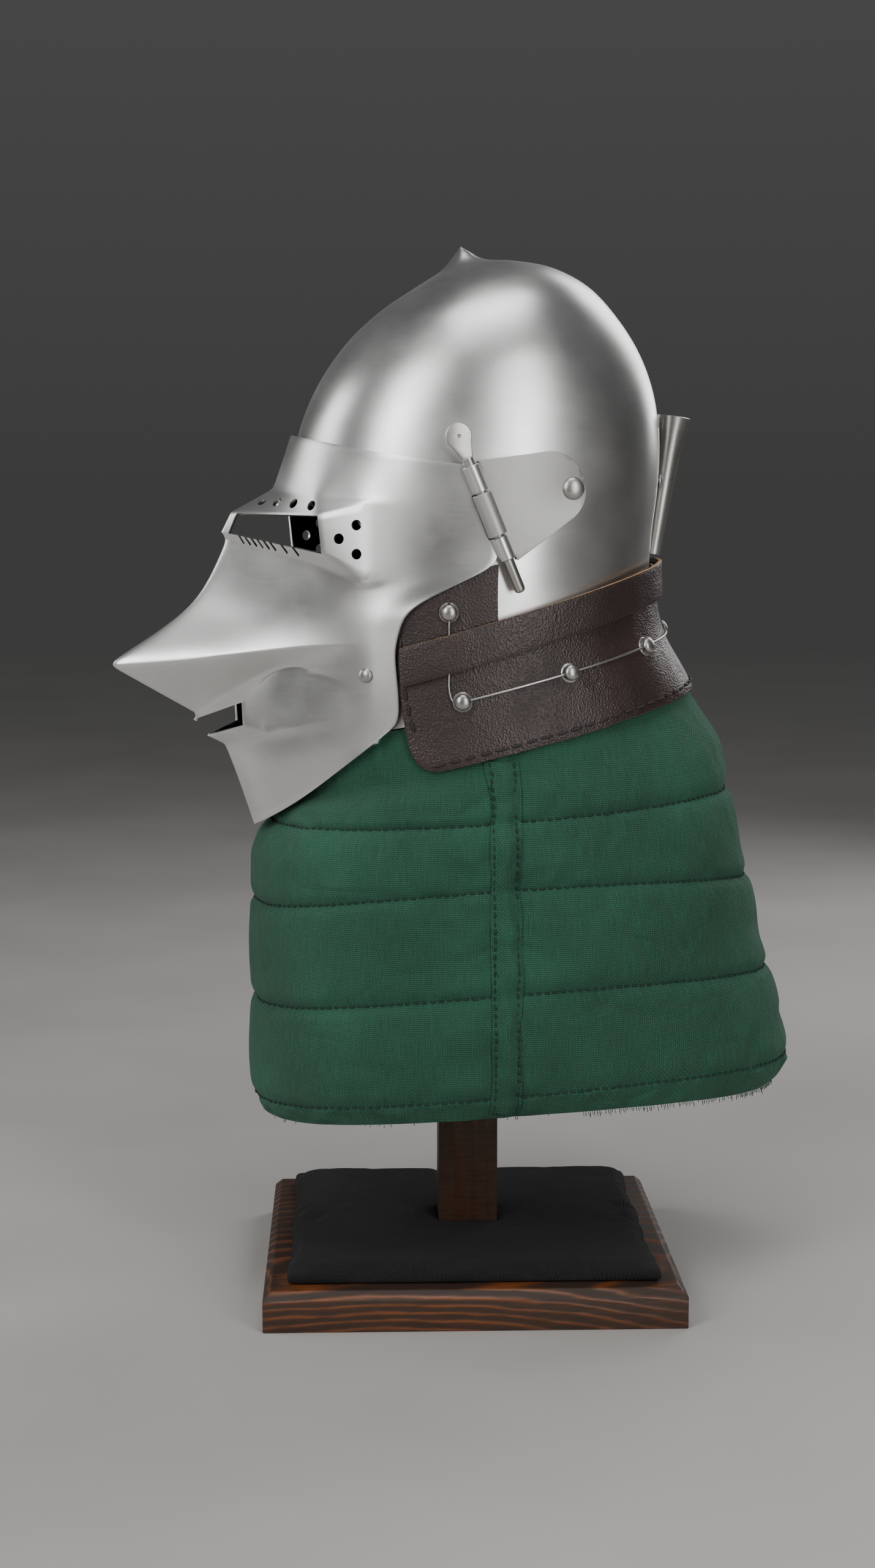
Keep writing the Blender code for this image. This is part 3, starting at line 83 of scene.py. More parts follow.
class Body(Enum):
    """The bodies that a piece can ride on."""

    HELMET = "helmet"
    VISOR = "visor"
    PIN_LEFT = "pin_left"
    PIN_RIGHT = "pin_right"


class Slot(Enum):
    """Names of material slots."""

    BRUSHED = "brushed_steel"
    POLISHED = "polished_steel"
    LEATHER = "brown_leather"
    CLOTH = "green_cloth"
    WOOD = "stained_wood"
    BLACK_CLOTH = "black_cloth"


class Section(NamedTuple):
    """A tilted ring of the skull: reaches in shares of its length, rises in shares of its height."""

    front_reach: float
    front_rise: float
    back_reach: float
    back_rise: float
    half_width: float


class VisorRow(NamedTuple):
    """A row of the visor's cage: reaches, rises and half widths from the middle to the tail.

    Hinge is the share of the way down the hinge at which the row ends, or None.
    """

    middle_reach: float
    middle_rise: float
    beak_half: float
    beak_reach: float
    beak_rise: float
    corner_half: float
    corner_reach: float
    corner_rise: float
    cheek_reach: float
    cheek_rise: float
    tail_reach: float
    tail_rise: float
    hinge: float | None = None


class ClothRing(NamedTuple):
    """A ring of the aventail below its leather; lift raises its sides above the ring's plane."""

    front_reach: float
    front_rise: float
    back_reach: float
    back_rise: float
    half_width: float
    lift: float


class Line(NamedTuple):
    """An edge that runs round the helmet in a tilted plane: its height at the middle, and its slope."""

    rise: float
    slope: float

    def at(self, y: float) -> float:
        """Finds the edge's height.

        Args:
            y: The reach behind the helmet's middle.

        Returns:
            The height above the stand's underside.
        """
        return self.rise + self.slope * y


SKULL_SECTIONS = (
    Section(-0.020, 1.000, -0.020, 1.000, 0.000),
    Section(-0.036, 0.983, -0.002, 0.992, 0.025),
    Section(-0.071, 0.953, 0.042, 0.976, 0.075),
    Section(-0.137, 0.921, 0.122, 0.973, 0.165),
    Section(-0.227, 0.876, 0.221, 0.959, 0.280),
    Section(-0.313, 0.817, 0.317, 0.921, 0.375),
    Section(-0.382, 0.746, 0.397, 0.857, 0.440),
    Section(-0.429, 0.673, 0.456, 0.786, 0.477),
    Section(-0.458, 0.596, 0.492, 0.707, 0.495),
    Section(-0.477, 0.520, 0.502, 0.625, 0.500),
    Section(-0.487, 0.435, 0.498, 0.537, 0.500),
    Section(-0.492, 0.341, 0.483, 0.438, 0.500),
    Section(-0.492, 0.237, 0.483, 0.341, 0.500),
    Section(-0.487, 0.143, 0.508, 0.256, 0.507),
    Section(-0.477, 0.052, 0.573, 0.171, 0.520),
    Section(-0.462, -0.041, 0.634, 0.081, 0.540),
)

VISOR_ROWS = {
    "brow_edge": VisorRow(0.484, 1.000, 0.28, 0.474, 0.992, 0.54, 0.423, 0.977, 0.310, 0.951, 0, 0, 0.00),
    "fold": VisorRow(0.534, 0.864, 0.30, 0.516, 0.858, 0.59, 0.456, 0.850, 0.333, 0.839, 0, 0, 0.36),
    "upper_lip": VisorRow(0.649, 0.804, 0.34, 0.554, 0.800, 0.68, 0.456, 0.797, 0.339, 0.828, 0, 0, 0.56),
    "lower_lip": VisorRow(0.675, 0.754, 0.34, 0.562, 0.729, 0.68, 0.446, 0.703, 0.343, 0.640, 0, 0, 1.00),
    "under_lip": VisorRow(0.669, 0.731, 0.33, 0.552, 0.699, 0.65, 0.440, 0.672, 0.347, 0.614, 0.079, 0.648),
    "nose": VisorRow(0.730, 0.602, 0.27, 0.599, 0.580, 0.59, 0.472, 0.570, 0.351, 0.551, 0.228, 0.580),
    "snout_top": VisorRow(0.820, 0.523, 0.25, 0.635, 0.527, 0.575, 0.482, 0.530, 0.351, 0.523, 0.258, 0.538),
    "snout_crease": VisorRow(1.0, 0.420, 0.23, 0.754, 0.439, 0.565, 0.492, 0.473, 0.351, 0.477, 0.273, 0.472),
    "under_snout": VisorRow(0.940, 0.388, 0.205, 0.75, 0.398, 0.50, 0.506, 0.464, 0.351, 0.455, 0.272, 0.438),
    "lip_facet": VisorRow(0.764, 0.288, 0.18, 0.647, 0.356, 0.435, 0.520, 0.450, 0.351, 0.405, 0.266, 0.375),
    "mouth_top": VisorRow(0.754, 0.275, 0.20, 0.634, 0.323, 0.375, 0.532, 0.430, 0.351, 0.375, 0.264, 0.341),
    "mouth_foot": VisorRow(0.717, 0.232, 0.20, 0.631, 0.265, 0.35, 0.573, 0.250, 0.355, 0.314, 0.264, 0.307),
    "chin_top": VisorRow(0.671, 0.210, 0.21, 0.613, 0.223, 0.365, 0.563, 0.225, 0.359, 0.280, 0.272, 0.284),
    "chin": VisorRow(0.639, 0.133, 0.22, 0.603, 0.144, 0.42, 0.540, 0.159, 0.369, 0.233, 0.290, 0.265),
    "foot": VisorRow(0.593, 0.000, 0.23, 0.563, 0.027, 0.46, 0.484, 0.085, 0.385, 0.182, 0.319, 0.241),
}

ROW_CREASES = {
    "fold": 0.7,
    "upper_lip": 1.0,
    "lower_lip": 1.0,
    "under_lip": 0.4,
    "snout_crease": 0.75,
    "lip_facet": 1.0,
    "mouth_top": 1.0,
    "mouth_foot": 1.0,
    "chin_top": 0.5,
}
KEEL_ROWS = ("brow_edge", "fold", "upper_lip", "lower_lip", "chin_top", "chin", "foot")
MIDDLE, KEEL, BEAK, CORNER, CHEEK, SIDE, TAIL = range(7)

CLOTH_RINGS = (
    ClothRing(-0.346, 0.710, 0.466, 0.853, 0.450, 0.000),
    ClothRing(-0.352, 0.673, 0.463, 0.737, 0.440, 0.000),
    ClothRing(-0.387, 0.590, 0.497, 0.643, 0.472, 0.020),
    ClothRing(-0.382, 0.490, 0.503, 0.530, 0.460, 0.047),
    ClothRing(-0.393, 0.387, 0.539, 0.427, 0.484, 0.043),
    ClothRing(-0.384, 0.263, 0.545, 0.313, 0.470, 0.040),
    ClothRing(-0.395, 0.160, 0.584, 0.213, 0.496, 0.037),
    ClothRing(-0.386, 0.040, 0.589, 0.103, 0.480, 0.033),
    ClothRing(-0.392, 0.023, 0.603, 0.077, 0.492, 0.037),
    ClothRing(-0.376, 0.000, 0.576, 0.033, 0.472, 0.037),
)

SKULL_EDGE = Line(0.4075, 0.22)
CLOTH_TOP = Line(0.4065, 0.22)
LEATHER_FOOT = Line(0.3749, 0.245)
STUD_LINE = Line(0.4171, 0.245)
STRAP_TOP = Line(0.4645, 0.295)
LEATHER_WING_TOP = Line(0.5005, 0.25)
HIGH_STUD_LINE = Line(0.4773, 0.245)
LEATHER_OUTSIDE = 0.0037
STUD_REACHES = (-0.025, 0.046, 0.104)
HIGH_STUD_REACH = -0.0335
WIRE_LIFT = 0.0052
CANVAS = {
    "quality": 6,
    "mass": 0.25,
    "tension_stiffness": 22,
    "compression_stiffness": 12,
    "shear_stiffness": 6,
    "bending_stiffness": 0.35,
    "air_damping": 2.0,
    "use_pressure": True,
    "vertex_group_mass": "seams",
    "pin_stiffness": 1.0,
}
SEARCH_FROM = 2.0
SEARCH_STEPS = 30
CRISP = 38.0
SUPPLE = 80.0
MERGE = 1e-5
MIDDLE_BAND = 2e-5
HEAD_RISE = 0.0030
SHANK = 0.0020
SMALL_HEAD = 0.0048


def interpolated(rows: Sequence[Section], s: float) -> Section:
    """Reads a table on a smooth curve through its rows.

    Args:
        rows: The table.
        s: The row's number, which may lie between two rows.

    Returns:
        The row at that number.
    """
    i = max(0, min(int(s), len(rows) - 2))
    t = s - i
    last = len(rows) - 1
    before, here, after, beyond = (rows[max(0, min(k, last))] for k in (i - 1, i, i + 1, i + 2))
    values = []
    for p, q, r, w in zip(before, here, after, beyond):
        bend = (2 * p - 5 * q + 4 * r - w) * t + (3 * q - p - 3 * r + w) * t * t
        values.append(q + 0.5 * t * (r - p + bend))
    return type(here)(*values)


def ring_point(
    front: Pair,
    back: Pair,
    half_width: float,
    widest: float,
    fullness: float,
    angle: float,
    lift: float = 0.0,
) -> Vector:
    """Finds a point of a tilted ring.

    Args:
        front: Reach and height of the ring's front.
        back: Reach and height of the ring's back.
        half_width: The ring's half width.
        widest: The share of the way back at which it is widest.
        fullness: 2 for an ellipse, more for squarer shoulders.
        angle: 0 at the front, half a turn at the back.
        lift: How far the sides rise above the ring's plane.

    Returns:
        The point.
    """
    middle = front[0] + widest * (back[0] - front[0])
    end = front if angle < math.pi / 2 else back
    power = 2 / fullness
    y = middle + (end[0] - middle) * abs(math.cos(angle)) ** power
    x = half_width * max(0.0, math.sin(angle)) ** power
    along = (y - front[0]) / (back[0] - front[0]) if back[0] != front[0] else 0.5
    return Vector((x, y, front[1] + along * (back[1] - front[1]) + lift * math.sin(angle) ** 2))


def mirrored(matrix: Matrix, side: int) -> Matrix:
    """Gives the place on the helmet's other side that matches one on its left.

    Args:
        matrix: The place on the left.
        side: 1 for the left, -1 for the right.

    Returns:
        The place on that side.
    """
    return matrix if side > 0 else FLIP @ matrix @ FLIP


def upright_at(point: Vector, direction: Vector) -> Matrix:
    """Stands a frame at a point.

    Args:
        point: Its origin.
        direction: The way that its Z looks.

    Returns:
        The frame.
    """
    matrix = direction.to_track_quat("Z", "Y").to_matrix().to_4x4()
    matrix.translation = point
    return matrix


@dataclass(frozen=True)
class SkullForm:
    """The curved surface of the skull, which every piece that lies on it is measured from."""

    length: float = 0.262
    width: float = 0.200
    height: float = 0.353
    foot: float = 0.3595
    fullness: float = 2.1
    pivot_back: float = 0.049
    pivot_height: float = 0.549
    lift_angle: float = math.radians(80)

    def ring(self, s: float) -> tuple[Pair, Pair, float]:
        """Measures one ring.

        Args:
            s: The ring's row number.

        Returns:
            Its front pair, back pair and half width.
        """
        row = interpolated(SKULL_SECTIONS, s)
        front = (row.front_reach * self.length, self.foot + row.front_rise * self.height)
        back = (row.back_reach * self.length, self.foot + row.back_rise * self.height)
        return front, back, row.half_width * self.width

    def point(self, angle: float, s: float) -> Vector:
        """Finds a point of the surface.

        Args:
            angle: 0 at the front, half a turn at the nape.
            s: The ring's row number.

        Returns:
            The point, on the left.
        """
        front, back, half_width = self.ring(s)
        return ring_point(front, back, half_width, 0.5, self.fullness, angle)

    def normal(self, angle: float, s: float) -> Vector:
        """Finds the way out of the surface.

        Args:
            angle: 0 at the front, half a turn at the nape.
            s: The ring's row number.

        Returns:
            The outward direction.
        """
        step = 0.02
        low = min(max(angle, step), math.pi - step)
        along = self.point(low + step, s) - self.point(low - step, s)
        if angle < step or angle > math.pi - step:
            along = Vector((1.0 if angle < step else -1.0, 0.0, 0.0))
        down = self.point(angle, s + step) - self.point(angle, s - step)
        normal = along.cross(down).normalized()
        return -normal if normal.dot(Vector((0, 0, -1)).cross(along)) < 0 else normal

    def outside(self, angle: float, s: float, offset: float) -> Vector:
        """Finds a point off the surface.

        Args:
            angle: 0 at the front, half a turn at the nape.
            s: The ring's row number.
            offset: How far out.

        Returns:
            The point, on the left.
        """
        return self.point(angle, s) + self.normal(angle, s) * offset

    def row_at(self, angle: float, line: Line) -> float:
        """Finds where an edge line crosses a meridian.

        Args:
            angle: The meridian's angle.
            line: The edge.

        Returns:
            The row number there.
        """
        low, high = SEARCH_FROM, len(SKULL_SECTIONS) - 1.0
        for _ in range(SEARCH_STEPS):
            s = (low + high) / 2
            point = self.point(angle, s)
            low, high = (s, high) if point.z > line.at(point.y) else (low, s)
        return s

    def spot(self, y: float, z: float) -> Pair:
        """Finds the angle and row number on the side that has this reach and height.

        Args:
            y: The reach.
            z: The height.

        Returns:
            The angle and the row number.
        """
        low, high = SEARCH_FROM, len(SKULL_SECTIONS) - 1.0
        for _ in range(SEARCH_STEPS):
            s = (low + high) / 2
            front, back, _ = self.ring(s)
            level = front[1] + (back[1] - front[1]) * (y - front[0]) / (back[0] - front[0])
            low, high = (s, high) if level > z else (low, s)
        middle = (front[0] + back[0]) / 2
        end = front if y < middle else back
        share = min(1.0, abs(y - middle) / abs(end[0] - middle))
        angle = math.acos(share ** (self.fullness / 2))
        return (angle if y < middle else math.pi - angle), s

    def spot_on(self, y: float, line: Line) -> Pair:
        """Finds the spot on an edge line.

        Args:
            y: The reach.
            line: The edge.

        Returns:
            The angle and the row number.
        """
        return self.spot(y, line.at(y))

    def beside(self, y: float, z: float, standoff: float) -> float:
        """Measures a half width off the skull's side.

        Args:
            y: The reach.
            z: The height.
            standoff: How far off the surface.

        Returns:
            The half width.
        """
        spot = self.spot(y, z)
        return self.point(*spot).x + standoff / max(0.75, self.normal(*spot).x)

    def clear(self, y: float, z: float, standoff: float) -> float:
        """Measures the half width that stays off the skull while the point turns about the pivot.

        Args:
            y: The reach.
            z: The height.
            standoff: How far off the surface.

        Returns:
            The half width.
        """
        reach = Vector((y - self.pivot_back, z - self.pivot_height))
        widest = 0.0
        for step in range(9):
            turn = self.lift_angle * step / 8
            spot_y = self.pivot_back + reach.x * math.cos(turn) + reach.y * math.sin(turn)
            spot_z = self.pivot_height - reach.x * math.sin(turn) + reach.y * math.cos(turn)
            widest = max(widest, self.beside(spot_y, spot_z, standoff))
        return widest

    def frame_on(self, angle: float, s: float, side: int = 1) -> Matrix:
        """Stands a frame on the skull, its Z outward.

        Args:
            angle: 0 at the front, half a turn at the nape.
            s: The ring's row number.
            side: 1 for the left, -1 for the right.

        Returns:
            The frame.
        """
        normal = self.normal(angle, s)
        across = Vector((0, 0, 1)).cross(normal).normalized()
        matrix = Matrix((across, normal.cross(across), normal)).transposed().to_4x4()
        matrix.translation = self.point(angle, s)
        return mirrored(matrix, side)


@dataclass(frozen=True)
class Hinge:
    """The leaning hinge that joins the visor to its side plates, and its three knuckles."""

    ahead: float = 0.0647
    lean: float = math.radians(22.5)
    out: float = 0.1085
    pin_radius: float = 0.00365
    bore_radius: float = 0.00395
    visor_roll: float = 0.00535
    plate_roll: float = 0.00635
    top: float = 0.0162
    top_length: float = 0.0192
    middle_length: float = 0.030
    low_length: float = 0.017
    gap: float = 0.0004
    tail: float = 0.0225

    @property
    def low(self) -> float:
        """Place of the hinge's foot along its axis.

        Returns:
            The place, from the pivot's height.
        """
        return self.top - self.top_length - self.middle_length - self.low_length

    def point(self, form: SkullForm, along: float) -> Pair:
        """Finds a point of the axis.

        Args:
            form: The skull's surface.
            along: The place along the axis, from the pivot's height.

        Returns:
            Its reach and height.
        """
        y = form.pivot_back - self.ahead - along * math.sin(self.lean)
        return y, form.pivot_height + along * math.cos(self.lean)

    def frame(self, form: SkullForm, along: float, side: int) -> Matrix:
        """Stands a frame on the axis, its Z up the pin.

        Args:
            form: The skull's surface.
            along: The place along the axis, from the pivot's height.
            side: 1 for the left, -1 for the right.

        Returns:
            The frame.
        """
        y, z = self.point(form, along)
        return Matrix.Translation((side * self.out, y, z)) @ Matrix.Rotation(self.lean, 4, "X")


class Nodes:
    """Builds one material's shader nodes."""

    def __init__(self, name: str) -> None:
        """Starts the material.

        Args:
            name: The material's name.
        """
        self.material = bpy.data.materials.new(name)
        self.material.use_nodes = True
        self.tree = self.material.node_tree
        self.shader = self.tree.nodes["Principled BSDF"]
        self.place = self.tree.nodes.new("ShaderNodeTexCoord").outputs["Object"]

    def put(self, socket: Socket, value: object) -> None:
        """Links or sets a socket.

        Args:
            socket: The input.
            value: An output to link, or a value.
        """
        if isinstance(value, Socket):
            self.tree.links.new(value, socket)
        else:
            socket.default_value = value

    def add(self, kind: str, settings: dict | None = None, **inputs: object) -> bpy.types.Node:
        """Adds a node.

        Args:
            kind: The node's kind, without its prefix.
            settings: Its settings.
            **inputs: Its inputs, an underscore standing for a space.

        Returns:
            The node.
        """
        node = self.tree.nodes.new(f"ShaderNode{kind}")
        for key, value in (settings or {}).items():
            setattr(node, key, value)
        for key, value in inputs.items():
            self.put(node.inputs[key.replace("_", " ")], value)
        return node

    def math(self, operation: str, *values: object) -> Socket:
        """Adds a sum.

        Args:
            operation: The kind of sum.
            *values: Outputs or numbers.

        Returns:
            The result.
        """
        node = self.tree.nodes.new("ShaderNodeMath")
        node.operation = operation
        for socket, value in zip(node.inputs, values):
            self.put(socket, value)
        return node.outputs[0]

    def ranged(self, value: object, low: float, high: float, to_low: float, to_high: float) -> object:
        """Maps a value from one range to another.

        Args:
            value: The output to map.
            low: Start of its range.
            high: End of its range.
            to_low: Start of the new range.
            to_high: End of the new range.

        Returns:
            The mapped output.
        """
        node = self.add("MapRange", Value=value)
        for key, number in (("From Min", low), ("From Max", high), ("To Min", to_low), ("To Max", to_high)):
            node.inputs[key].default_value = number
        return node.outputs[0]

    def clouds(
        self, scale: float, detail: float = 3.0, stretch: tuple = (1, 1, 1), turn: tuple = (0, 0, 0)
    ) -> Socket:
        """Adds a noise in the piece's own place.

        Args:
            scale: Cells to a metre.
            detail: How many finer layers it has.
            stretch: A factor for each axis.
            turn: A turn about each axis, in radians.

        Returns:
            The noise's value.
        """
        spread = self.add("Mapping", Vector=self.place, Scale=stretch, Rotation=turn)
        return self.add("TexNoise", Vector=spread.outputs[0], Scale=scale, Detail=detail).outputs[0]

    def blend(self, share: object, first: object, second: object, kind: str = "MIX") -> object:
        """Mixes two colours.

        Args:
            share: The second one's share.
            first: A colour.
            second: A colour.
            kind: The way to mix.

        Returns:
            The mixed colour.
        """
        node = self.tree.nodes.new("ShaderNodeMix")
        node.data_type = "RGBA"
        node.blend_type = kind
        for index, value in ((0, share), (6, first), (7, second)):
            self.put(node.inputs[index], value)
        return node.outputs[2]

    def bump(self, height: object, distance: float, strength: float = 1.0, onto: object = None) -> object:
        """Raises the surface.

        Args:
            height: The height's output.
            distance: The height's size in metres.
            strength: How much of it shows.
            onto: Another bump's normal.

        Returns:
            The new normal.
        """
        node = self.add("Bump", Height=height, Distance=distance, Strength=strength)
        if onto is not None:
            self.put(node.inputs["Normal"], onto)
        return node.outputs[0]

    def finish(self, **inputs: object) -> Look:
        """Sets the shader's inputs.

        Args:
            **inputs: Its inputs, an underscore standing for a space.

        Returns:
            The material.
        """
        for key, value in inputs.items():
            self.put(self.shader.inputs[key.replace("_", " ")], value)
        return self.material


@dataclass(frozen=True)
class SteelFinish:
    """Hand-brushed steel: fine scratches, soft hammer marks, worn bright edges and a faint dull bloom."""

    name: str
    light: Colour = (0.80, 0.795, 0.785, 1)
    dark: Colour = (0.66, 0.655, 0.645, 1)
    smooth: float = 0.285
    rough: float = 0.41
    dents: float = 0.0009
    scratches: float = 0.0000018
    brush: Triple = (1, 1, 16)
    brush_turn: Triple = (0.10, 0.06, 0)

    def make(self) -> Look:
        """Builds the finish.

        Returns:
            The material.
        """
        nodes = Nodes(self.name)
        strokes = nodes.clouds(70, 2, self.brush, self.brush_turn)
        cross = nodes.clouds(60, 2, (1, 24, 4), (0.9, 0.3, 0.2))
        marks = nodes.math("MULTIPLY_ADD", cross, 0.6, strokes)
        bloom = nodes.clouds(10, 4)
        stains = nodes.ranged(nodes.clouds(18, 3), 0.40, 0.85, 0, 1)
        worn = nodes.ranged(nodes.add("NewGeometry").outputs["Pointiness"], 0.54, 0.66, 0, 1)
        tone = nodes.ranged(nodes.math("MULTIPLY_ADD", marks, 0.30, bloom), 0.45, 1.05, 0, 1)
        colour = nodes.blend(tone, self.dark, self.light)
        colour = nodes.blend(nodes.math("MULTIPLY", stains, 0.18), colour, (0.36, 0.345, 0.32, 1))
        colour = nodes.blend(nodes.math("MULTIPLY", worn, 0.5), colour, (0.85, 0.85, 0.84, 1))
        cloudy = nodes.math("MULTIPLY_ADD", bloom, 1.2, nodes.math("MULTIPLY_ADD", marks, 0.3, stains))
        shine = nodes.ranged(cloudy, 0.6, 1.7, self.smooth, self.rough)
        normal = nodes.bump(nodes.clouds(16, 0), self.dents)
        normal = nodes.bump(marks, self.scratches, onto=normal)
        return nodes.finish(Base_Color=colour, Metallic=1.0, Roughness=shine, Normal=normal)


@dataclass(frozen=True)
class LeatherFinish:
    """Waxed leather: pebbled grain, creases, rubbed lighter patches."""

    name: str
    deep: Colour = (0.016, 0.009, 0.0075, 1)
    rubbed: Colour = (0.047, 0.029, 0.025, 1)
    grain: float = 720.0
    shine: float = 0.36

    def make(self) -> Look:
        """Builds the finish.

        Returns:
            The material.
        """
        nodes = Nodes(self.name)
        cells = nodes.add("TexVoronoi", Vector=nodes.place, Scale=self.grain).outputs["Distance"]
        creases = nodes.math("ABSOLUTE", nodes.math("SUBTRACT", nodes.clouds(15, 3, (1, 1, 1.8)), 0.5))
        folds = nodes.ranged(creases, 0.0, 0.018, 0, 1)
        patches = nodes.clouds(24, 6)
        tone = nodes.ranged(nodes.math("MULTIPLY_ADD", cells, 0.25, patches), 0.35, 0.85, 0, 1)
        colour = nodes.blend(tone, self.deep, self.rubbed)
        colour = nodes.blend(nodes.ranged(folds, 0, 1, 0.25, 0), colour, self.deep)
        rough = nodes.ranged(patches, 0.3, 0.7, self.shine + 0.16, self.shine - 0.06)
        normal = nodes.bump(folds, 0.0003, 0.35)
        normal = nodes.bump(nodes.clouds(60, 3), 0.0006, 0.4, normal)
        normal = nodes.bump(cells, 0.00035, 0.9, normal)
        return nodes.finish(Base_Color=colour, Roughness=rough, Normal=normal)


@dataclass(frozen=True)
class WeaveFinish:
    """Plain-woven cloth whose threads follow the piece's own cloth map, in metres."""

    name: str
    dark: Colour
    light: Colour
    thread: float = 0.0014
    fuzz: float = 0.35
    map_name: str = "cloth_map"

    def make(self) -> Look:
        """Builds the finish.

        Returns:
            The material.
        """
        nodes = Nodes(self.name)
        flat = nodes.add("UVMap", {"uv_map": self.map_name}).outputs[0]
        spread = nodes.add("Mapping", Vector=flat, Scale=(1 / self.thread,) * 3, Location=(0, 0, 0.3))
        parts = nodes.add("SeparateXYZ", Vector=spread.outputs[0])
        across, along = [
            nodes.math("ABSOLUTE", nodes.math("SINE", nodes.math("MULTIPLY", part, math.pi)))
            for part in (parts.outputs[0], parts.outputs[1])
        ]
        over = nodes.add("TexChecker", Vector=spread.outputs[0], Scale=1.0).outputs["Fac"]
        warp = nodes.math("MULTIPLY", across, over)
        weft = nodes.math("MULTIPLY", along, nodes.math("SUBTRACT", 1.0, over))
        weave = nodes.math("ADD", warp, weft)
        slub = nodes.add("Mapping", Vector=flat, Scale=(1500, 60, 1))
        slubs = nodes.add("TexNoise", Vector=slub.outputs[0], Scale=1.0, Detail=2.0).outputs[0]
        patches = nodes.clouds(11, 5)
        tone = nodes.math("MULTIPLY_ADD", slubs, 0.7, nodes.math("MULTIPLY", weave, 0.6))
        tone = nodes.ranged(nodes.math("ADD", tone, patches), 0.75, 1.6, 0, 1)
        colour = nodes.blend(tone, self.dark, self.light)
        bends = nodes.clouds(8, 2, (1, 1, 1.7), (0.7, 0.3, 0.2))
        creases = nodes.ranged(nodes.math("ABSOLUTE", nodes.math("SUBTRACT", bends, 0.5)), 0.0, 0.05, 0, 1)
        normal = nodes.bump(creases, 0.0016, 0.5)
        normal = nodes.bump(nodes.clouds(55, 4), 0.0022, 0.6, normal)
        normal = nodes.bump(weave, 0.0005, 1.0, normal)
        rough = nodes.ranged(patches, 0.3, 0.7, 0.84, 0.96)
        return nodes.finish(
            Base_Color=colour, Roughness=rough, Normal=normal, Sheen_Weight=self.fuzz, Sheen_Roughness=0.5
        )


@dataclass(frozen=True)
class WoodFinish:
    """Stained softwood: arched growth rings, pores along the grain and slanting saw marks."""

    name: str
    stain: Colour = (0.016, 0.007, 0.004, 1)
    ring: Colour = (0.19, 0.055, 0.013, 1)
    heart: Triple = (-0.10, 0.02, 0.055)
    stretch: Triple = (1.0, 0.42, 2.2)
    rings: float = 30.0
    sawn: float = 0.5

    def make(self) -> Look:
        """Builds the finish.

        Returns:
            The material.
        """
        nodes = Nodes(self.name)
        spread = nodes.add("Mapping", Vector=nodes.place, Location=self.heart, Scale=self.stretch)
        wave = nodes.add(
            "TexWave",
            {"wave_type": "RINGS", "rings_direction": "SPHERICAL"},
            Vector=spread.outputs[0],
            Scale=self.rings,
            Distortion=3.5,
            Detail=3.0,
            Detail_Scale=1.4,
        ).outputs["Fac"]
        rings = nodes.math("POWER", wave, 3.2)
        pores = nodes.clouds(300, 2, (1, 0.05, 1))
        saw = nodes.add("Mapping", Vector=nodes.place, Rotation=(0.2, 0.5, 0.35))
        marks = nodes.add(
            "TexWave", {"wave_profile": "SAW"}, Vector=saw.outputs[0], Scale=110.0, Distortion=1.2
        ).outputs["Fac"]
        patches = nodes.clouds(9, 5)
        tone = nodes.math("MULTIPLY", rings, nodes.ranged(patches, 0.3, 0.65, 0.25, 1.0))
        colour = nodes.blend(tone, self.stain, self.ring)
        worn = nodes.ranged(nodes.add("NewGeometry").outputs["Pointiness"], 0.51, 0.62, 0, 0.35)
        colour = nodes.blend(worn, colour, (0.16, 0.07, 0.03, 1))
        colour = nodes.blend(nodes.ranged(pores, 0.35, 0.55, 0.4, 0), colour, self.stain)
        rough = nodes.ranged(nodes.math("ADD", patches, rings), 0.3, 1.4, 0.62, 0.38)
        normal = nodes.bump(marks, 0.0004, self.sawn)
        normal = nodes.bump(nodes.math("ADD", rings, pores), 0.0003, 0.6, normal)
        return nodes.finish(Base_Color=colour, Roughness=rough, Normal=normal)


@dataclass(frozen=True)
class PlainFinish:
    """A quiet grained finish: thread, raw cut leather or the studio's floor."""

    name: str
    light: Colour
    dark: Colour
    scale: float
    rough: float
    depth: float

    def make(self) -> Look:
        """Builds the finish.

        Returns:
            The material.
        """
        nodes = Nodes(self.name)
        grain = nodes.clouds(self.scale, 6)
        colour = nodes.blend(nodes.ranged(grain, 0.3, 0.7, 0, 1), self.dark, self.light)
        rough = nodes.ranged(grain, 0.3, 0.7, self.rough - 0.08, self.rough + 0.08)
        return nodes.finish(Base_Color=colour, Roughness=rough, Normal=nodes.bump(grain, self.depth, 0.5))


def face_out(bm: Sheet, centre: Vector) -> None:
    """Turns an open sheet's faces away from a point.

    Args:
        bm: The sheet.
        centre: A point behind it.
    """
    bmesh.ops.recalc_face_normals(bm, faces=bm.faces)
    total = sum(face.normal.dot(face.calc_center_median() - centre) for face in bm.faces)
    if total < 0:
        bmesh.ops.reverse_faces(bm, faces=bm.faces)


def lofted(columns: int, rows: int, place: Place) -> Sheet:
    """Makes a sheet of columns by rows faces.

    Args:
        columns: Faces across.
        rows: Faces down.
        place: Gives the corner at a column and a row; row 0 is the first.

    Returns:
        The sheet.
    """
    bm = bmesh.new()
    bmesh.ops.create_grid(bm, x_segments=columns, y_segments=rows, size=0.5)
    for vert in bm.verts:
        vert.co = place(round((vert.co.x + 0.5) * columns), round((0.5 - vert.co.y) * rows))
    return bm


def both_sides(bm: Sheet, centre: Vector) -> Sheet:
    """Adds a left half's mirror image and closes the middle.

    Args:
        bm: The left half.
        centre: A point behind the sheet.

    Returns:
        The same mesh.
    """
    for vert in bm.verts:
        if abs(vert.co.x) < MIDDLE_BAND:
            vert.co.x = 0.0
    bmesh.ops.mirror(bm, geom=bm.verts[:] + bm.edges[:] + bm.faces[:], axis="X", merge_dist=MERGE)
    bmesh.ops.remove_doubles(bm, verts=bm.verts, dist=MERGE)
    face_out(bm, centre)
    return bm


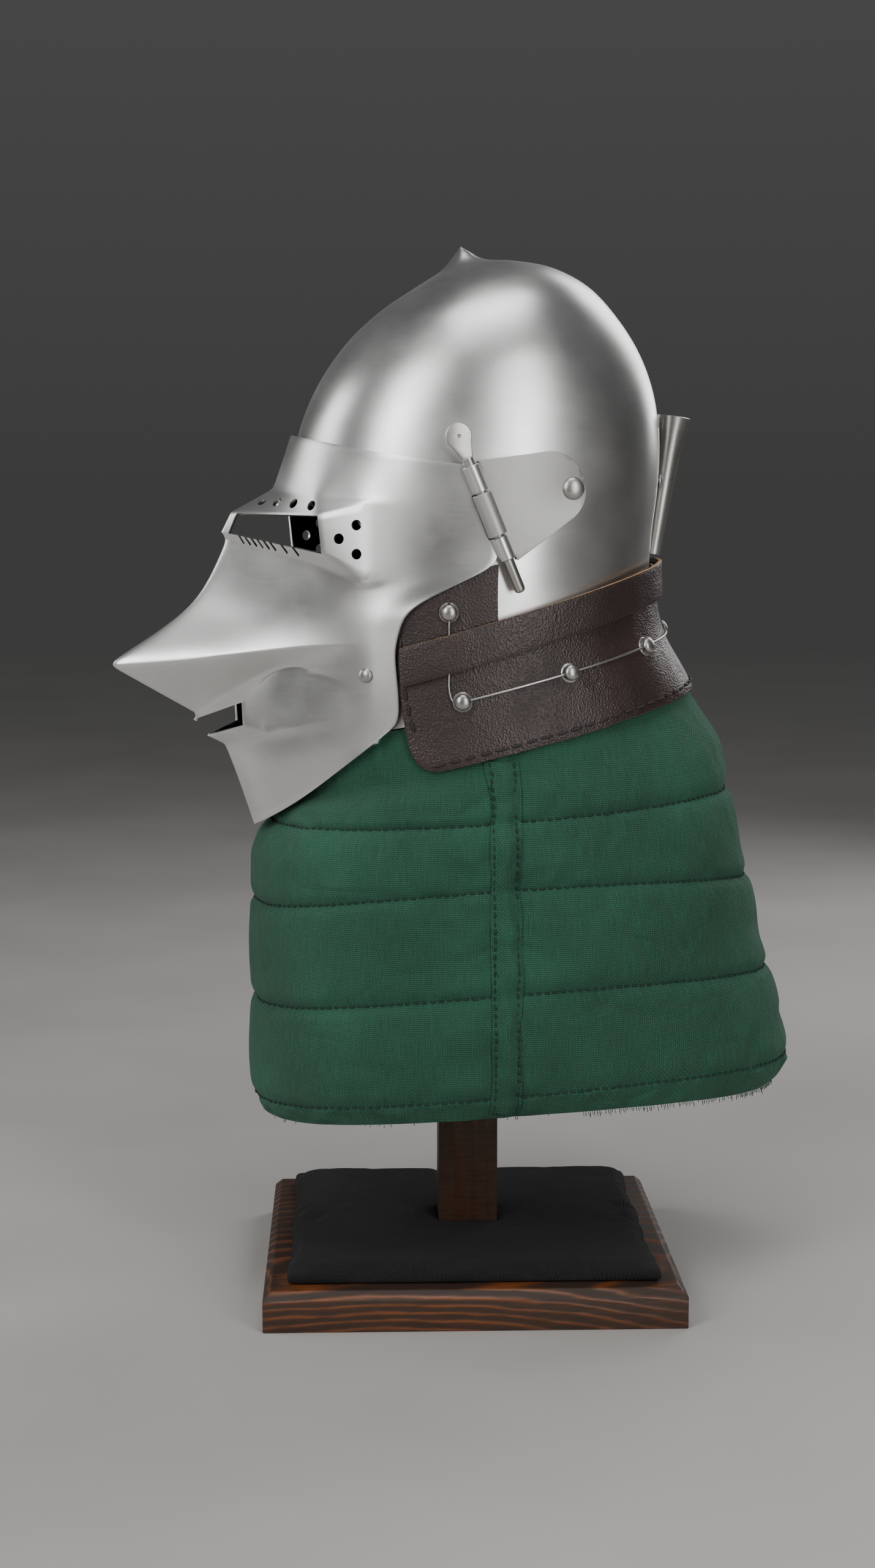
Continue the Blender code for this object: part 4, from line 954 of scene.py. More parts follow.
def spun(profile: Sequence[Pair], steps: int, into: Sheet | None = None) -> Sheet:
    """Turns a profile about Z.

    Args:
        profile: Pairs of radius and height.
        steps: Steps in the full turn.
        into: A mesh to add it to.

    Returns:
        The turned mesh, its faces outward.
    """
    bm = bmesh.new() if into is None else into
    verts = [bm.verts.new((radius, 0.0, height)) for radius, height in profile]
    edges = [bm.edges.new(pair) for pair in zip(verts, verts[1:])]
    bmesh.ops.spin(
        bm,
        geom=verts + edges,
        cent=(0, 0, 0),
        axis=(0, 0, 1),
        angle=2 * math.pi,
        steps=steps,
        use_merge=True,
    )
    bmesh.ops.remove_doubles(bm, verts=bm.verts, dist=1e-6)
    bmesh.ops.recalc_face_normals(bm, faces=bm.faces)
    return bm


def as_object(name: str, bm: Sheet, *materials: Look, sharp: float = CRISP) -> Piece:
    """Makes a scene object from a mesh.

    Args:
        name: The object's name.
        bm: The mesh, which is freed.
        *materials: Its materials, in order.
        sharp: The angle in degrees from which edges stay crisp.

    Returns:
        The object.
    """
    mesh = bpy.data.meshes.new(name)
    bm.to_mesh(mesh)
    bm.free()
    mesh.shade_smooth()
    mesh.set_sharp_from_angle(angle=math.radians(sharp))
    obj = bpy.data.objects.new(name, mesh)
    bpy.context.scene.collection.objects.link(obj)
    for material in materials:
        mesh.materials.append(material)
    return obj


def baked(obj: Piece, sharp: float = CRISP) -> Piece:
    """Writes an object's modifiers into its mesh.

    Args:
        obj: The object.
        sharp: The angle in degrees from which edges stay crisp.

    Returns:
        The same object.
    """
    bpy.context.view_layer.update()
    graph = bpy.context.evaluated_depsgraph_get()
    mesh = bpy.data.meshes.new_from_object(obj.evaluated_get(graph), depsgraph=graph)
    obj.modifiers.clear()
    obj.data = mesh
    mesh.shade_smooth()
    mesh.set_sharp_from_angle(angle=math.radians(sharp))
    return obj


def walled(obj: Piece, thickness: float, edge: float = 0.0, rim: int = 0, inner: int = 0) -> Piece:
    """Thickens a sheet inwards and rounds its edges.

    Args:
        obj: The sheet.
        thickness: The wall's thickness.
        edge: The width of the rounding, or 0 for none.
        rim: How many material slots on the cut edge's material lies.
        inner: How many material slots on the inner face's material lies.

    Returns:
        The same object.
    """
    wall = obj.modifiers.new("wall", "SOLIDIFY")
    wall.thickness = thickness
    wall.offset = -1.0
    wall.use_even_offset = True
    wall.use_quality_normals = True
    wall.material_offset_rim = rim
    wall.material_offset = inner
    if edge:
        rounding = obj.modifiers.new("rounded", "BEVEL")
        rounding.width = edge
        rounding.segments = 2
        rounding.limit_method = "ANGLE"
        rounding.angle_limit = math.radians(55)
        rounding.use_clamp_overlap = True
    return baked(obj)


def cut_away(obj: Piece, tools: Sequence[Piece]) -> Piece:
    """Cuts solids out of a piece and throws the solids away.

    Args:
        obj: The piece.
        tools: The solids.

    Returns:
        The same piece.
    """
    group = bpy.data.collections.new(f"{obj.name}_cuts")
    bpy.context.scene.collection.children.link(group)
    for tool in tools:
        bpy.context.scene.collection.objects.unlink(tool)
        group.objects.link(tool)
    cut = obj.modifiers.new("cut", "BOOLEAN")
    cut.solver = "EXACT"
    cut.operand_type = "COLLECTION"
    cut.collection = group
    baked(obj)
    for tool in tools:
        bpy.data.objects.remove(tool, do_unlink=True)
    bpy.data.collections.remove(group)
    return obj


def tool_rod(name: str, radius: float, length: float, matrix: Matrix) -> Piece:
    """Makes a round cutter about a frame's Z.

    Args:
        name: The cutter's name.
        radius: Its radius.
        length: Its length.
        matrix: The frame at its middle.

    Returns:
        The cutter.
    """
    bm = bmesh.new()
    bmesh.ops.create_cone(
        bm, cap_ends=True, segments=28, radius1=radius, radius2=radius, depth=length, matrix=matrix
    )
    return as_object(name, bm)


def joined(name: str, parts: Sequence[Piece]) -> Piece:
    """Joins finished parts into one object.

    Args:
        name: The object's name.
        parts: The parts; the first one's materials stay.

    Returns:
        The joined object.
    """
    bm = bmesh.new()
    for part in parts:
        bm.from_mesh(part.data)
    whole = parts[0]
    bm.to_mesh(whole.data)
    bm.free()
    whole.data.shade_smooth()
    whole.data.set_sharp_from_angle(angle=math.radians(CRISP))
    for part in parts[1:]:
        bpy.data.objects.remove(part, do_unlink=True)
    whole.name = name
    return whole


def hand_over(obj: Piece, body: Body, slot: Slot, nodes: Sequence[str] = ()) -> Piece:
    """Gives a finished piece to the frame.

    Args:
        obj: The piece.
        body: The body that it rides on.
        slot: The material slot's name; not used.
        nodes: The frame's nodes that it stands for.

    Returns:
        The same piece.
    """
    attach(obj, body.value)
    if nodes:
        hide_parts(*nodes)
    LOG.info("%s: %d faces", obj.name, len(obj.data.polygons) if obj.type == "MESH" else 0)
    return obj


def paced(path: Sequence[Vector], pitch: float) -> list[tuple[Vector, Vector]]:
    """Steps along a path.

    Args:
        path: Its points.
        pitch: The length of a step.

    Returns:
        The place and the direction at each step.
    """
    found = []
    gone = pitch / 2
    for start, end in zip(path, path[1:]):
        span = (end - start).length
        while gone < span:
            found.append((start.lerp(end, gone / span), (end - start).normalized()))
            gone += pitch
        gone -= span
    return found


def stitched(
    name: str,
    paths: Sequence[Sequence[Vector]],
    pitch: float,
    length: float,
    radius: float,
    material: Look,
    slant: float = 0.12,
    seed: int = 3,
) -> Piece:
    """Lays a running stitch along paths: one small swelling thread at each step.

    Args:
        name: The object's name.
        paths: The paths, each a row of points on the cloth.
        pitch: The distance from stitch to stitch.
        length: A stitch's length.
        radius: The thread's radius.
        material: The thread's material.
        slant: How far stitches stray from the path's direction.
        seed: The seed of the small differences between them.

    Returns:
        The stitches as one object.
    """
    chance = random.Random(seed)
    bm = bmesh.new()
    for path in paths:
        for place, way in paced(path, pitch):
            stray = Vector([chance.uniform(-slant, slant) for _ in range(3)])
            stand = upright_at(place, (way + stray).normalized())
            size = Matrix.Diagonal((radius, radius, length * chance.uniform(0.42, 0.54), 1))
            bmesh.ops.create_uvsphere(bm, u_segments=6, v_segments=5, radius=1.0, matrix=stand @ size)
    return as_object(name, bm, material, sharp=SUPPLE)


def settled(
    obj: Piece, held: Iterable[int], pressure: float, slack: float, most: float, frames: int = 20
) -> None:
    """Lets a padded cover swell and wrinkle between its seams.

    Args:
        obj: The cover, whose mesh takes the settled shape.
        held: The numbers of the points that a seam holds.
        pressure: The filling's pressure.
        slack: How much longer the cloth is than the form, as a share.
        most: The farthest that a point may move.
        frames: How many steps it settles for.
    """
    mesh = obj.data
    start = [vert.co.copy() for vert in mesh.vertices]
    seam = obj.vertex_groups.new(name="seams")
    seam.add(sorted(held), 1.0, "REPLACE")
    cloth = obj.modifiers.new("cloth", "CLOTH")
    for key, value in CANVAS.items():
        setattr(cloth.settings, key, value)
    cloth.settings.shrink_min = -slack
    cloth.settings.uniform_pressure_force = pressure
    cloth.settings.effector_weights.gravity = 0.0
    cloth.collision_settings.use_collision = False
    cloth.point_cache.frame_end = frames + 1
    scene = bpy.context.scene
    for number in range(1, frames + 1):
        scene.frame_set(number)
    graph = bpy.context.evaluated_depsgraph_get()
    found = obj.evaluated_get(graph).to_mesh()
    moved = []
    for vert, was in zip(found.vertices, start):
        step = vert.co - was
        if step.length > most:
            step *= most / step.length
        moved.append(was + step)
    obj.evaluated_get(graph).to_mesh_clear()
    obj.modifiers.clear()
    for vert, place in zip(mesh.vertices, moved):
        vert.co = place
    obj.vertex_groups.clear()
    scene.frame_set(1)
    mesh.update()


@dataclass
class Finishes:
    """Every material of the helmet and its stand."""

    def __post_init__(self) -> None:
        """Builds the materials."""
        self.steel = SteelFinish("brushed_steel_look").make()
        # Near-black steel is painted shade: the inner faces take it so the helmet's inside, seen through the
        # sights, stays dark as if in shade. The side plates' rims take it as a painted shadow line.
        self.painted_shade_steel = SteelFinish(
            "painted_shade_steel_look", (0.045, 0.043, 0.042, 1), (0.018, 0.017, 0.017, 1), 0.55, 0.75
        ).make()
        self.fittings = SteelFinish(
            "polished_steel_look", (0.56, 0.545, 0.52, 1), (0.36, 0.35, 0.33, 1), 0.31, 0.42, 0.0003
        ).make()
        self.plate_steel = SteelFinish(
            "upright_brushed_steel_look",
            (0.52, 0.515, 0.495, 1),
            (0.40, 0.395, 0.38, 1),
            0.50,
            0.60,
            0.0002,
            brush=(1, 16, 1),
            brush_turn=(0.15, 0, 0),
        ).make()
        self.leather = LeatherFinish("brown_leather_look").make()
        self.raw_leather = PlainFinish(
            "raw_leather_look", (0.52, 0.29, 0.13, 1), (0.20, 0.10, 0.045, 1), 260, 0.75, 0.0006
        ).make()
        self.cloth = WeaveFinish(
            "green_canvas_look", (0.004, 0.036, 0.018, 1), (0.030, 0.140, 0.080, 1), fuzz=0.03
        ).make()
        self.thread = PlainFinish(
            "thread_look", (0.014, 0.050, 0.030, 1), (0.003, 0.014, 0.009, 1), 900, 0.85, 0.0002
        ).make()
        self.cord = PlainFinish(
            "dark_thread_look", (0.035, 0.028, 0.024, 1), (0.008, 0.006, 0.006, 1), 900, 0.7, 0.0002
        ).make()
        self.base_wood = WoodFinish("stained_base_look").make()
        self.post_wood = WoodFinish(
            "stained_post_look", ring=(0.048, 0.017, 0.008, 1), heart=(0.03, 0.02, 0.0),
            stretch=(1.0, 1.0, 0.06), rings=60, sawn=0.25,
        ).make()
        self.black_cloth = WeaveFinish(
            "black_cloth_look", (0.0012, 0.0012, 0.0014, 1), (0.006, 0.006, 0.0066, 1), 0.0010, 0.01
        ).make()


@dataclass
class SkullShell:
    """The pointed steel skull, open at the face."""

    form: SkullForm
    finishes: Finishes
    wall: float = 0.002
    face_width: float = 0.158
    face_arch: float = 0.052
    face_above_pivot: float = 0.003
    face_depth: float = 0.045
    face_power: float = 2 / 2.6
    beyond: float = 0.4
    crowding: float = 0.9
    columns: int = 64
    rows: int = 88

    def build(self) -> None:
        """Builds the skull and gives it to the frame."""
        angles = [math.pi * k / self.columns for k in range(self.columns + 1)]
        ends = [self.form.row_at(angle, SKULL_EDGE) for angle in angles]
        half = lofted(
            self.columns,
            self.rows,
            lambda column, row: self.form.point(
                angles[column], ends[column] * (row / self.rows) ** self.crowding
            ),
        )
        bm = both_sides(half, Vector((0, 0, self.form.pivot_height)))
        shell = as_object("skull_shell", bm, self.finishes.steel, self.finishes.painted_shade_steel)
        # The inner faces take the near-black steel: painted shade inside the skull.
        walled(shell, self.wall, inner=1)
        cut_away(shell, [self.face_tool()])
        hand_over(shell, Body.HELMET, Slot.BRUSHED, ["skull"])

    def face_tool(self) -> Piece:
        """Makes the arched solid that opens the face.

        Returns:
            The cutter.
        """
        bm = bmesh.new()
        bmesh.ops.create_circle(bm, cap_ends=True, segments=96, radius=1.0)
        spring = self.form.pivot_height + self.face_above_pivot - self.face_arch
        for vert in bm.verts:
            across, up = vert.co.x, vert.co.y
            x = math.copysign(abs(across) ** self.face_power, across) * self.face_width / 2
            z = spring + self.face_arch * max(0.0, up) ** self.face_power
            vert.co = (x, -self.face_depth, z if up > -0.001 else spring - self.beyond)
        bmesh.ops.remove_doubles(bm, verts=bm.verts, dist=1e-6)
        grown = bmesh.ops.extrude_face_region(bm, geom=bm.faces[:])
        moved = [item for item in grown["geom"] if isinstance(item, bmesh.types.BMVert)]
        bmesh.ops.translate(bm, vec=(0, -self.beyond, 0), verts=moved)
        bmesh.ops.recalc_face_normals(bm, faces=bm.faces)
        return as_object("face_tool", bm)


@dataclass
class Visor:
    """The pointed visor with its boxed sight, pierced breaths, toothed lip and hinge rolls."""

    form: SkullForm
    hinge: Hinge
    finishes: Finishes
    snout_reach: float = 0.252
    height: float = 0.264
    foot: float = 0.321
    standoff: float = 0.0076
    wall: float = 0.0018
    keel_half: float = 0.005
    breath_radius: float = 0.0035
    roof_breaths: tuple[float, ...] = (0.20, 0.43, 0.68, 0.93)
    side_breaths: tuple[Pair, ...] = ((0.80, 0.28), (0.42, 0.52), (0.80, 0.70))
    teeth: int = 8
    tooth_size: Triple = (0.0017, 0.012, 0.0100)
    tooth_lean: float = -0.8
    tooth_turn: float = 0.6
    cutter: float = 0.014

    def spot(self, half: float, reach: float, rise: float) -> Vector:
        """Turns shares into a place.

        Args:
            half: The share of the half width.
            reach: The share of the snout's reach.
            rise: The share of the height.

        Returns:
            The place.
        """
        x = half * self.form.width / 2
        return Vector((x, -reach * self.snout_reach, self.foot + rise * self.height))

    def corner(self, column: int, row_name: str) -> Vector:
        """Finds a corner of the visor's cage.

        Args:
            column: The cage's column, from the middle to the tail.
            row_name: The cage's row.

        Returns:
            The corner, on the left.
        """
        row = VISOR_ROWS[row_name]
        middle = self.spot(0.0, row.middle_reach, row.middle_rise)
        beak = self.spot(row.beak_half, row.beak_reach, row.beak_rise)
        cheek = self.spot(0.0, row.cheek_reach, row.cheek_rise)
        cheek.x = self.form.beside(cheek.y, cheek.z, self.standoff)
        tail = self.spot(0.0, row.tail_reach, row.tail_rise)
        if row.hinge is not None:
            span = self.hinge.top - self.hinge.low
            tail.y, tail.z = self.hinge.point(self.form, self.hinge.top - row.hinge * span)
            tail.y -= 0.0015
        tail.x = self.form.beside(tail.y, tail.z, self.standoff)
        side = cheek.lerp(tail, 0.5)
        side.x = self.form.beside(side.y, side.z, self.standoff)
        return {
            MIDDLE: middle,
            KEEL: middle.lerp(beak, self.keel_half / beak.x),
            BEAK: beak,
            CORNER: self.spot(row.corner_half, row.corner_reach, row.corner_rise),
            CHEEK: cheek,
            SIDE: side,
            TAIL: tail,
        }[column]

    def cage(self) -> Sheet:
        """Makes the left half's coarse cage, its folds creased and its openings removed.

        Returns:
            The cage.
        """
        names = list(VISOR_ROWS)
        bm = bmesh.new()
        bmesh.ops.create_grid(bm, x_segments=TAIL, y_segments=len(names) - 1, size=0.5)
        crease = bm.edges.layers.float.new("crease_edge")
        places = {
            vert: (round((vert.co.x + 0.5) * TAIL), round((0.5 - vert.co.y) * (len(names) - 1)))
            for vert in bm.verts
        }
        open_faces = []
        for face in bm.faces:
            columns = [places[vert][0] for vert in face.verts]
            name = names[min(places[vert][1] for vert in face.verts)]
            sight = name == "upper_lip" and KEEL <= min(columns) and max(columns) <= CORNER
            if sight or (name == "mouth_top" and max(columns) <= BEAK):
                open_faces.append(face)
        for edge in bm.edges:
            (column_a, row_a), (column_b, row_b) = (places[vert] for vert in edge.verts)
            name = names[max(row_a, row_b)]
            if row_a == row_b and max(column_a, column_b) <= CHEEK:
                edge[crease] = ROW_CREASES.get(names[row_a], 0.0)
                if names[row_a] == "snout_crease" and max(column_a, column_b) <= BEAK:
                    edge[crease] = 0.35
            elif column_a == column_b == MIDDLE and name in KEEL_ROWS:
                edge[crease] = 0.5
            elif column_a == column_b == CORNER and name in ("upper_lip", "lower_lip", "mouth_foot"):
                edge[crease] = 0.8
            elif column_a == column_b == CHEEK and name in ("upper_lip", "lower_lip", "under_lip"):
                edge[crease] = 0.6
            elif column_a == column_b == BEAK and name == "mouth_foot":
                edge[crease] = 1.0
        for vert, (column, row) in places.items():
            vert.co = self.corner(column, names[row])
        bmesh.ops.delete(bm, geom=open_faces, context="FACES_ONLY")
        face_out(bm, Vector((0, 0, 0.49)))
        return bm

    def build(self) -> None:
        """Builds the visor and its rivets, and gives them to the frame."""
        sheet = as_object("visor_sheet", self.cage(), self.finishes.steel, self.finishes.painted_shade_steel)
        mirror = sheet.modifiers.new("mirror", "MIRROR")
        mirror.merge_threshold = 0.0001
        smooth = sheet.modifiers.new("smooth", "SUBSURF")
        smooth.levels = smooth.render_levels = 3
        smooth.boundary_smooth = "PRESERVE_CORNERS"
        baked(sheet)
        _, spot, normal, _ = sheet.ray_cast(Vector((0.4, -0.086, 0.428)), Vector((-1, 0, 0)))
        # The inner faces take the near-black steel: painted shade inside the visor.
        walled(sheet, self.wall, 0.0005, inner=1)
        cut_away(sheet, self.tools())
        rolls = []
        for _, side in SIDES:
            for top, length in (
                (self.hinge.top, self.hinge.top_length),
                (self.hinge.low + self.hinge.low_length, self.hinge.low_length),
            ):
                rolls.append(rolled(self.form, self.hinge, self.hinge.visor_roll, top, length, side))
        visor = joined("visor_shell", [sheet, *rolls])
        hand_over(visor, Body.VISOR, Slot.BRUSHED, ["visor"])
        for side_name, side in SIDES:
            riveted(
                f"visor_rivet_{side_name}",
                (0.0006, HEAD_RISE, SMALL_HEAD, SHANK, 0.0036),
                mirrored(upright_at(spot, normal), side),
                self.finishes.fittings,
                Body.VISOR,
            )

    def tools(self) -> list[Piece]:
        """Makes the solids that pierce the visor.

        Returns:
            The cutters.
        """
        found = []
        roof = self.corner(CORNER, "upper_lip") - self.corner(MIDDLE, "upper_lip")
        for side_name, side in SIDES:
            for k, share in enumerate(self.roof_breaths):
                back = self.corner(MIDDLE, "fold").lerp(self.corner(CORNER, "fold"), share)
                front = self.corner(MIDDLE, "upper_lip").lerp(self.corner(CORNER, "upper_lip"), share)
                normal = roof.cross(back - front).normalized()
                spot = upright_at(back.lerp(front, 0.55), -normal if normal.z < 0 else normal)
                found.append(
                    tool_rod(f"roof_{side_name}_{k}", self.breath_radius, self.cutter, mirrored(spot, side))
                )
            for k, (back_share, down_share) in enumerate(self.side_breaths):
                top = self.corner(CORNER, "upper_lip").lerp(self.corner(CHEEK, "upper_lip"), back_share)
                low = self.corner(CORNER, "lower_lip").lerp(self.corner(CHEEK, "lower_lip"), back_share)
                along = self.corner(CHEEK, "upper_lip") - self.corner(CORNER, "upper_lip")
                normal = along.cross(low - top).normalized()
                spot = upright_at(top.lerp(low, down_share), -normal if normal.x < 0 else normal)
                found.append(
                    tool_rod(f"side_{side_name}_{k}", self.breath_radius, self.cutter, mirrored(spot, side))
                )
            middle = self.hinge.top - self.hinge.top_length - self.hinge.middle_length / 2
            room = self.hinge.plate_roll + self.hinge.gap
            length = self.hinge.middle_length + 2 * self.hinge.gap
            found.append(
                tool_rod(f"room_{side_name}", room, length, self.hinge.frame(self.form, middle, side))
            )
            for k in range(self.teeth):
                share = 0.16 + 0.62 * k / (self.teeth - 1)
                lip = self.corner(KEEL, "lower_lip").lerp(self.corner(BEAK, "lower_lip"), share / 0.6)
                if share > 0.6:
                    lip = self.corner(BEAK, "lower_lip").lerp(
                        self.corner(CORNER, "lower_lip"), (share - 0.6) / 0.4
                    )
                bm = bmesh.new()
                bmesh.ops.create_cube(bm, size=1.0)
                stand = Matrix.Translation(lip) @ Matrix.Rotation(self.tooth_lean, 4, "Y")
                stand = stand @ Matrix.Rotation(self.tooth_turn, 4, "Z")
                size = Matrix.Diagonal((*self.tooth_size, 1))
                bmesh.ops.transform(bm, matrix=mirrored(stand, side) @ size, verts=bm.verts)
                bmesh.ops.recalc_face_normals(bm, faces=bm.faces)
                found.append(as_object(f"tooth_{side_name}_{k}", bm))
        return found


def riveted(node: str, shape: Sequence[float], matrix: Matrix, steel: Look, body: Body) -> None:
    """Builds one domed rivet and gives it to the frame.

    Args:
        node: The node that it stands for, its side last.
        shape: What domed() asks for, in its order.
        matrix: The frame that it stands on.
        steel: Its material.
        body: The body that it rides on.
    """
    bm = domed(*shape)
    bmesh.ops.transform(bm, matrix=matrix, verts=bm.verts)
    kind, side_name = node.rsplit("_", 1)
    hand_over(as_object(f"{kind}_head_{side_name}", bm, steel), body, Slot.POLISHED, [node])


def rolled(form: SkullForm, hinge: Hinge, radius: float, top: float, length: float, side: int) -> Piece:
    """Makes one hollow knuckle of the hinge, its ends rounded.

    Args:
        form: The skull's surface.
        hinge: The hinge.
        radius: The knuckle's radius.
        top: The place of its top along the axis.
        length: Its length.
        side: 1 for the left, -1 for the right.

    Returns:
        The knuckle.
    """
    half = (length - hinge.gap) / 2 - 0.0004
    soft = 0.0005
    bore = hinge.bore_radius
    profile = (
        (bore, half - soft),
        (bore + soft, half),
        (radius - soft, half),
        (radius, half - soft),
        (radius, soft - half),
        (radius - soft, -half),
        (bore + soft, -half),
        (bore, soft - half),
        (bore, half - soft),
    )
    bm = spun(profile, 36)
    bmesh.ops.transform(bm, matrix=hinge.frame(form, top - length / 2, side), verts=bm.verts)
    return as_object("roll", bm)


def domed(seat: float, rise: float, head: float, shank: float, grip: float) -> Sheet:
    """Makes a domed rivet standing on Z.

    Args:
        seat: The height at which its head rests.
        rise: The head's height.
        head: The head's radius.
        shank: The shank's radius.
        grip: The length of the shank down to the inner head.

    Returns:
        The rivet.
    """
    dome = [
        (head * math.cos(turn), seat + 0.0003 + (rise - 0.0003) * math.sin(turn) ** 0.9)
        for turn in (math.pi / 2 * k / 8 for k in range(8))
    ]
    inner = seat - grip
    profile = [(0.0, seat + rise), *reversed(dome), (head * 0.97, seat), (shank, seat), (shank, inner)]
    profile += [(head * 0.75, inner), (head * 0.72, inner - 0.001), (0.0, inner - 0.0012)]
    return spun(profile, 32)


@dataclass
class SidePlates:
    """The D-shaped plates that carry the hinge and turn on the pivot rivets, with the loose pins."""

    form: SkullForm
    hinge: Hinge
    finishes: Finishes
    wall: float = 0.002
    gap: float = 0.0013
    nose_radius: float = 0.024
    nose_ahead: float = 0.015
    behind_hinge: float = 0.0015
    strip: float = 0.004
    pivot_radius: float = 0.0076
    pin_head_radius: float = 0.0086
    pin_head_rise: float = 0.0198
    pin_head_thickness: float = 0.0032

    def outline(self) -> list[Vector]:
        """Finds the plate's corners, as reach and height.

        Returns:
            The corners in order.
        """
        nose = Vector((self.form.pivot_back - self.nose_ahead, self.form.pivot_height))
        turns = [2 * math.pi * step / 72 for step in range(72)]
        corners = [nose + self.nose_radius * Vector((math.cos(t), math.sin(t))) for t in turns]
        middle = self.hinge.top - self.hinge.top_length
        for along, back in (
            (self.hinge.top + 0.003, self.hinge.plate_roll),
            (self.hinge.low, self.hinge.plate_roll),
            (middle, 0.0),
            (middle - self.hinge.middle_length, 0.0),
        ):
            y, z = self.hinge.point(self.form, along)
            corners.append(Vector((y + self.behind_hinge + back, z)))
        return [corners[k] for k in convex_hull_2d(corners)]

    def plate(self) -> Sheet:
        """Makes the left plate's outer face, lying round the skull.

        Returns:
            The face.
        """
        bm = bmesh.new()
        bm.faces.new([bm.verts.new((0.0, corner.x, corner.y)) for corner in self.outline()])
        for normal in (Vector((0, 1, 0)), Vector((0, 0, 1))):
            heights = [vert.co.dot(normal) for vert in bm.verts]
            level = min(heights) + self.strip
            while level < max(heights) - self.strip / 3:
                everything = bm.verts[:] + bm.edges[:] + bm.faces[:]
                bmesh.ops.bisect_plane(bm, geom=everything, plane_co=normal * level, plane_no=normal)
                level += self.strip
        for vert in bm.verts:
            vert.co.x = self.form.clear(vert.co.y, vert.co.z, self.gap + self.wall)
        face_out(bm, Vector((0, self.form.pivot_back, self.form.pivot_height)))
        return bm

    def build(self) -> None:
        """Builds the plates, pivots and pins, and gives them to the frame."""
        left = self.plate()
        for side_name, side in SIDES:
            bm = left.copy()
            if side < 0:
                bmesh.ops.scale(bm, vec=(-1, 1, 1), verts=bm.verts)
                bmesh.ops.reverse_faces(bm, faces=bm.faces)
            plate = as_object(
                f"side_plate_{side_name}_d", bm, self.finishes.plate_steel, self.finishes.painted_shade_steel
            )
            # The rim and inner faces take the near-black steel: a painted shadow line round the plate's edge,
            # and painted shade behind the plate.
            walled(plate, self.wall, 0.0004, rim=1, inner=1)
            room = self.hinge.visor_roll + 5 * self.hinge.gap
            tools = []
            for top, length in (
                (self.hinge.top + 0.02, self.hinge.top_length + 0.02),
                (self.hinge.low + self.hinge.low_length, self.hinge.low_length + 0.02),
            ):
                matrix = self.hinge.frame(self.form, top - length / 2, side)
                tools.append(tool_rod("room", room, length + 2 * self.hinge.gap, matrix))
            cut_away(plate, tools)
            top = self.hinge.top - self.hinge.top_length
            roll = rolled(
                self.form, self.hinge, self.hinge.plate_roll, top, self.hinge.middle_length, side
            )
            plate = joined(f"side_plate_{side_name}_d", [plate, roll])
            hand_over(plate, Body.VISOR, Slot.BRUSHED, [f"side_plate_{side_name}"])
            x = self.form.beside(self.form.pivot_back, self.form.pivot_height, 0.0)
            seat = self.form.clear(self.form.pivot_back, self.form.pivot_height, self.gap + self.wall) - x
            place = Matrix.Translation((side * x, self.form.pivot_back, self.form.pivot_height))
            riveted(
                f"pivot_rivet_{side_name}",
                (seat + 0.0009, 0.0042, self.pivot_radius, 0.0035, 0.0085),
                place @ Matrix.Rotation(side * math.pi / 2, 4, "Y"),
                self.finishes.fittings,
                Body.HELMET,
            )
            self.build_pin(side_name, side)
        left.free()

    def build_pin(self, side_name: str, side: int) -> None:
        """Builds one loose pin with its punched teardrop head.

        Args:
            side_name: The side's name.
            side: 1 for the left, -1 for the right.
        """
        bm = bmesh.new()
        outline = [
            (self.pin_head_radius * math.cos(t), self.pin_head_radius * math.sin(t))
            for t in (math.radians(-38) + math.radians(256) * k / 36 for k in range(37))
        ]
        foot = self.hinge.gap - self.pin_head_rise
        outline += [(-0.0034, foot + 0.004), (-0.0032, foot), (0.0032, foot), (0.0034, foot + 0.004)]
        thick = self.pin_head_thickness / 2
        face = bm.faces.new([bm.verts.new((-thick, y, z)) for y, z in outline])
        grown = bmesh.ops.extrude_face_region(bm, geom=[face])
        moved = [item for item in grown["geom"] if isinstance(item, bmesh.types.BMVert)]
        bmesh.ops.translate(bm, vec=(2 * thick, 0, 0), verts=moved)
        bmesh.ops.recalc_face_normals(bm, faces=bm.faces)
        rims = [edge for edge in bm.edges if abs(edge.verts[0].co.x - edge.verts[1].co.x) < 1e-6]
        bmesh.ops.bevel(
            bm, geom=rims, offset=0.0006, segments=3, profile=0.5, affect="EDGES", material=-1
        )
        frame_at = self.hinge.frame(self.form, self.hinge.top + self.pin_head_rise, side)
        bmesh.ops.transform(bm, matrix=frame_at, verts=bm.verts)
        head = as_object(f"hinge_pin_{side_name}_drop", bm, self.finishes.fittings)
        dot = bmesh.new()
        mark = frame_at @ Matrix.Translation((side * (thick + 0.0005), 0, 0))
        bmesh.ops.create_uvsphere(dot, u_segments=20, v_segments=12, radius=0.0014, matrix=mark)
        cut_away(head, [as_object("dot", dot)])
        low = self.hinge.low - self.hinge.tail
        top = self.hinge.top + self.pin_head_radius / 2
        radius = self.hinge.pin_radius
        profile = [(0.0, low), (radius * 0.55, low + 0.0003), (radius * 0.88, low + 0.0012)]
        profile += [(radius, low + 0.003), (radius, top)]
        profile += [(radius - 0.0006, top + 0.0006), (0.0, top + 0.0006)]
        shank = spun(profile, 32)
        bmesh.ops.transform(shank, matrix=self.hinge.frame(self.form, 0.0, side), verts=shank.verts)
        pin = joined(f"hinge_pin_{side_name}_drop", [head, as_object("shank", shank)])
        body = Body.PIN_LEFT if side > 0 else Body.PIN_RIGHT
        hand_over(pin, body, Slot.POLISHED, [f"hinge_pin_{side_name}"])


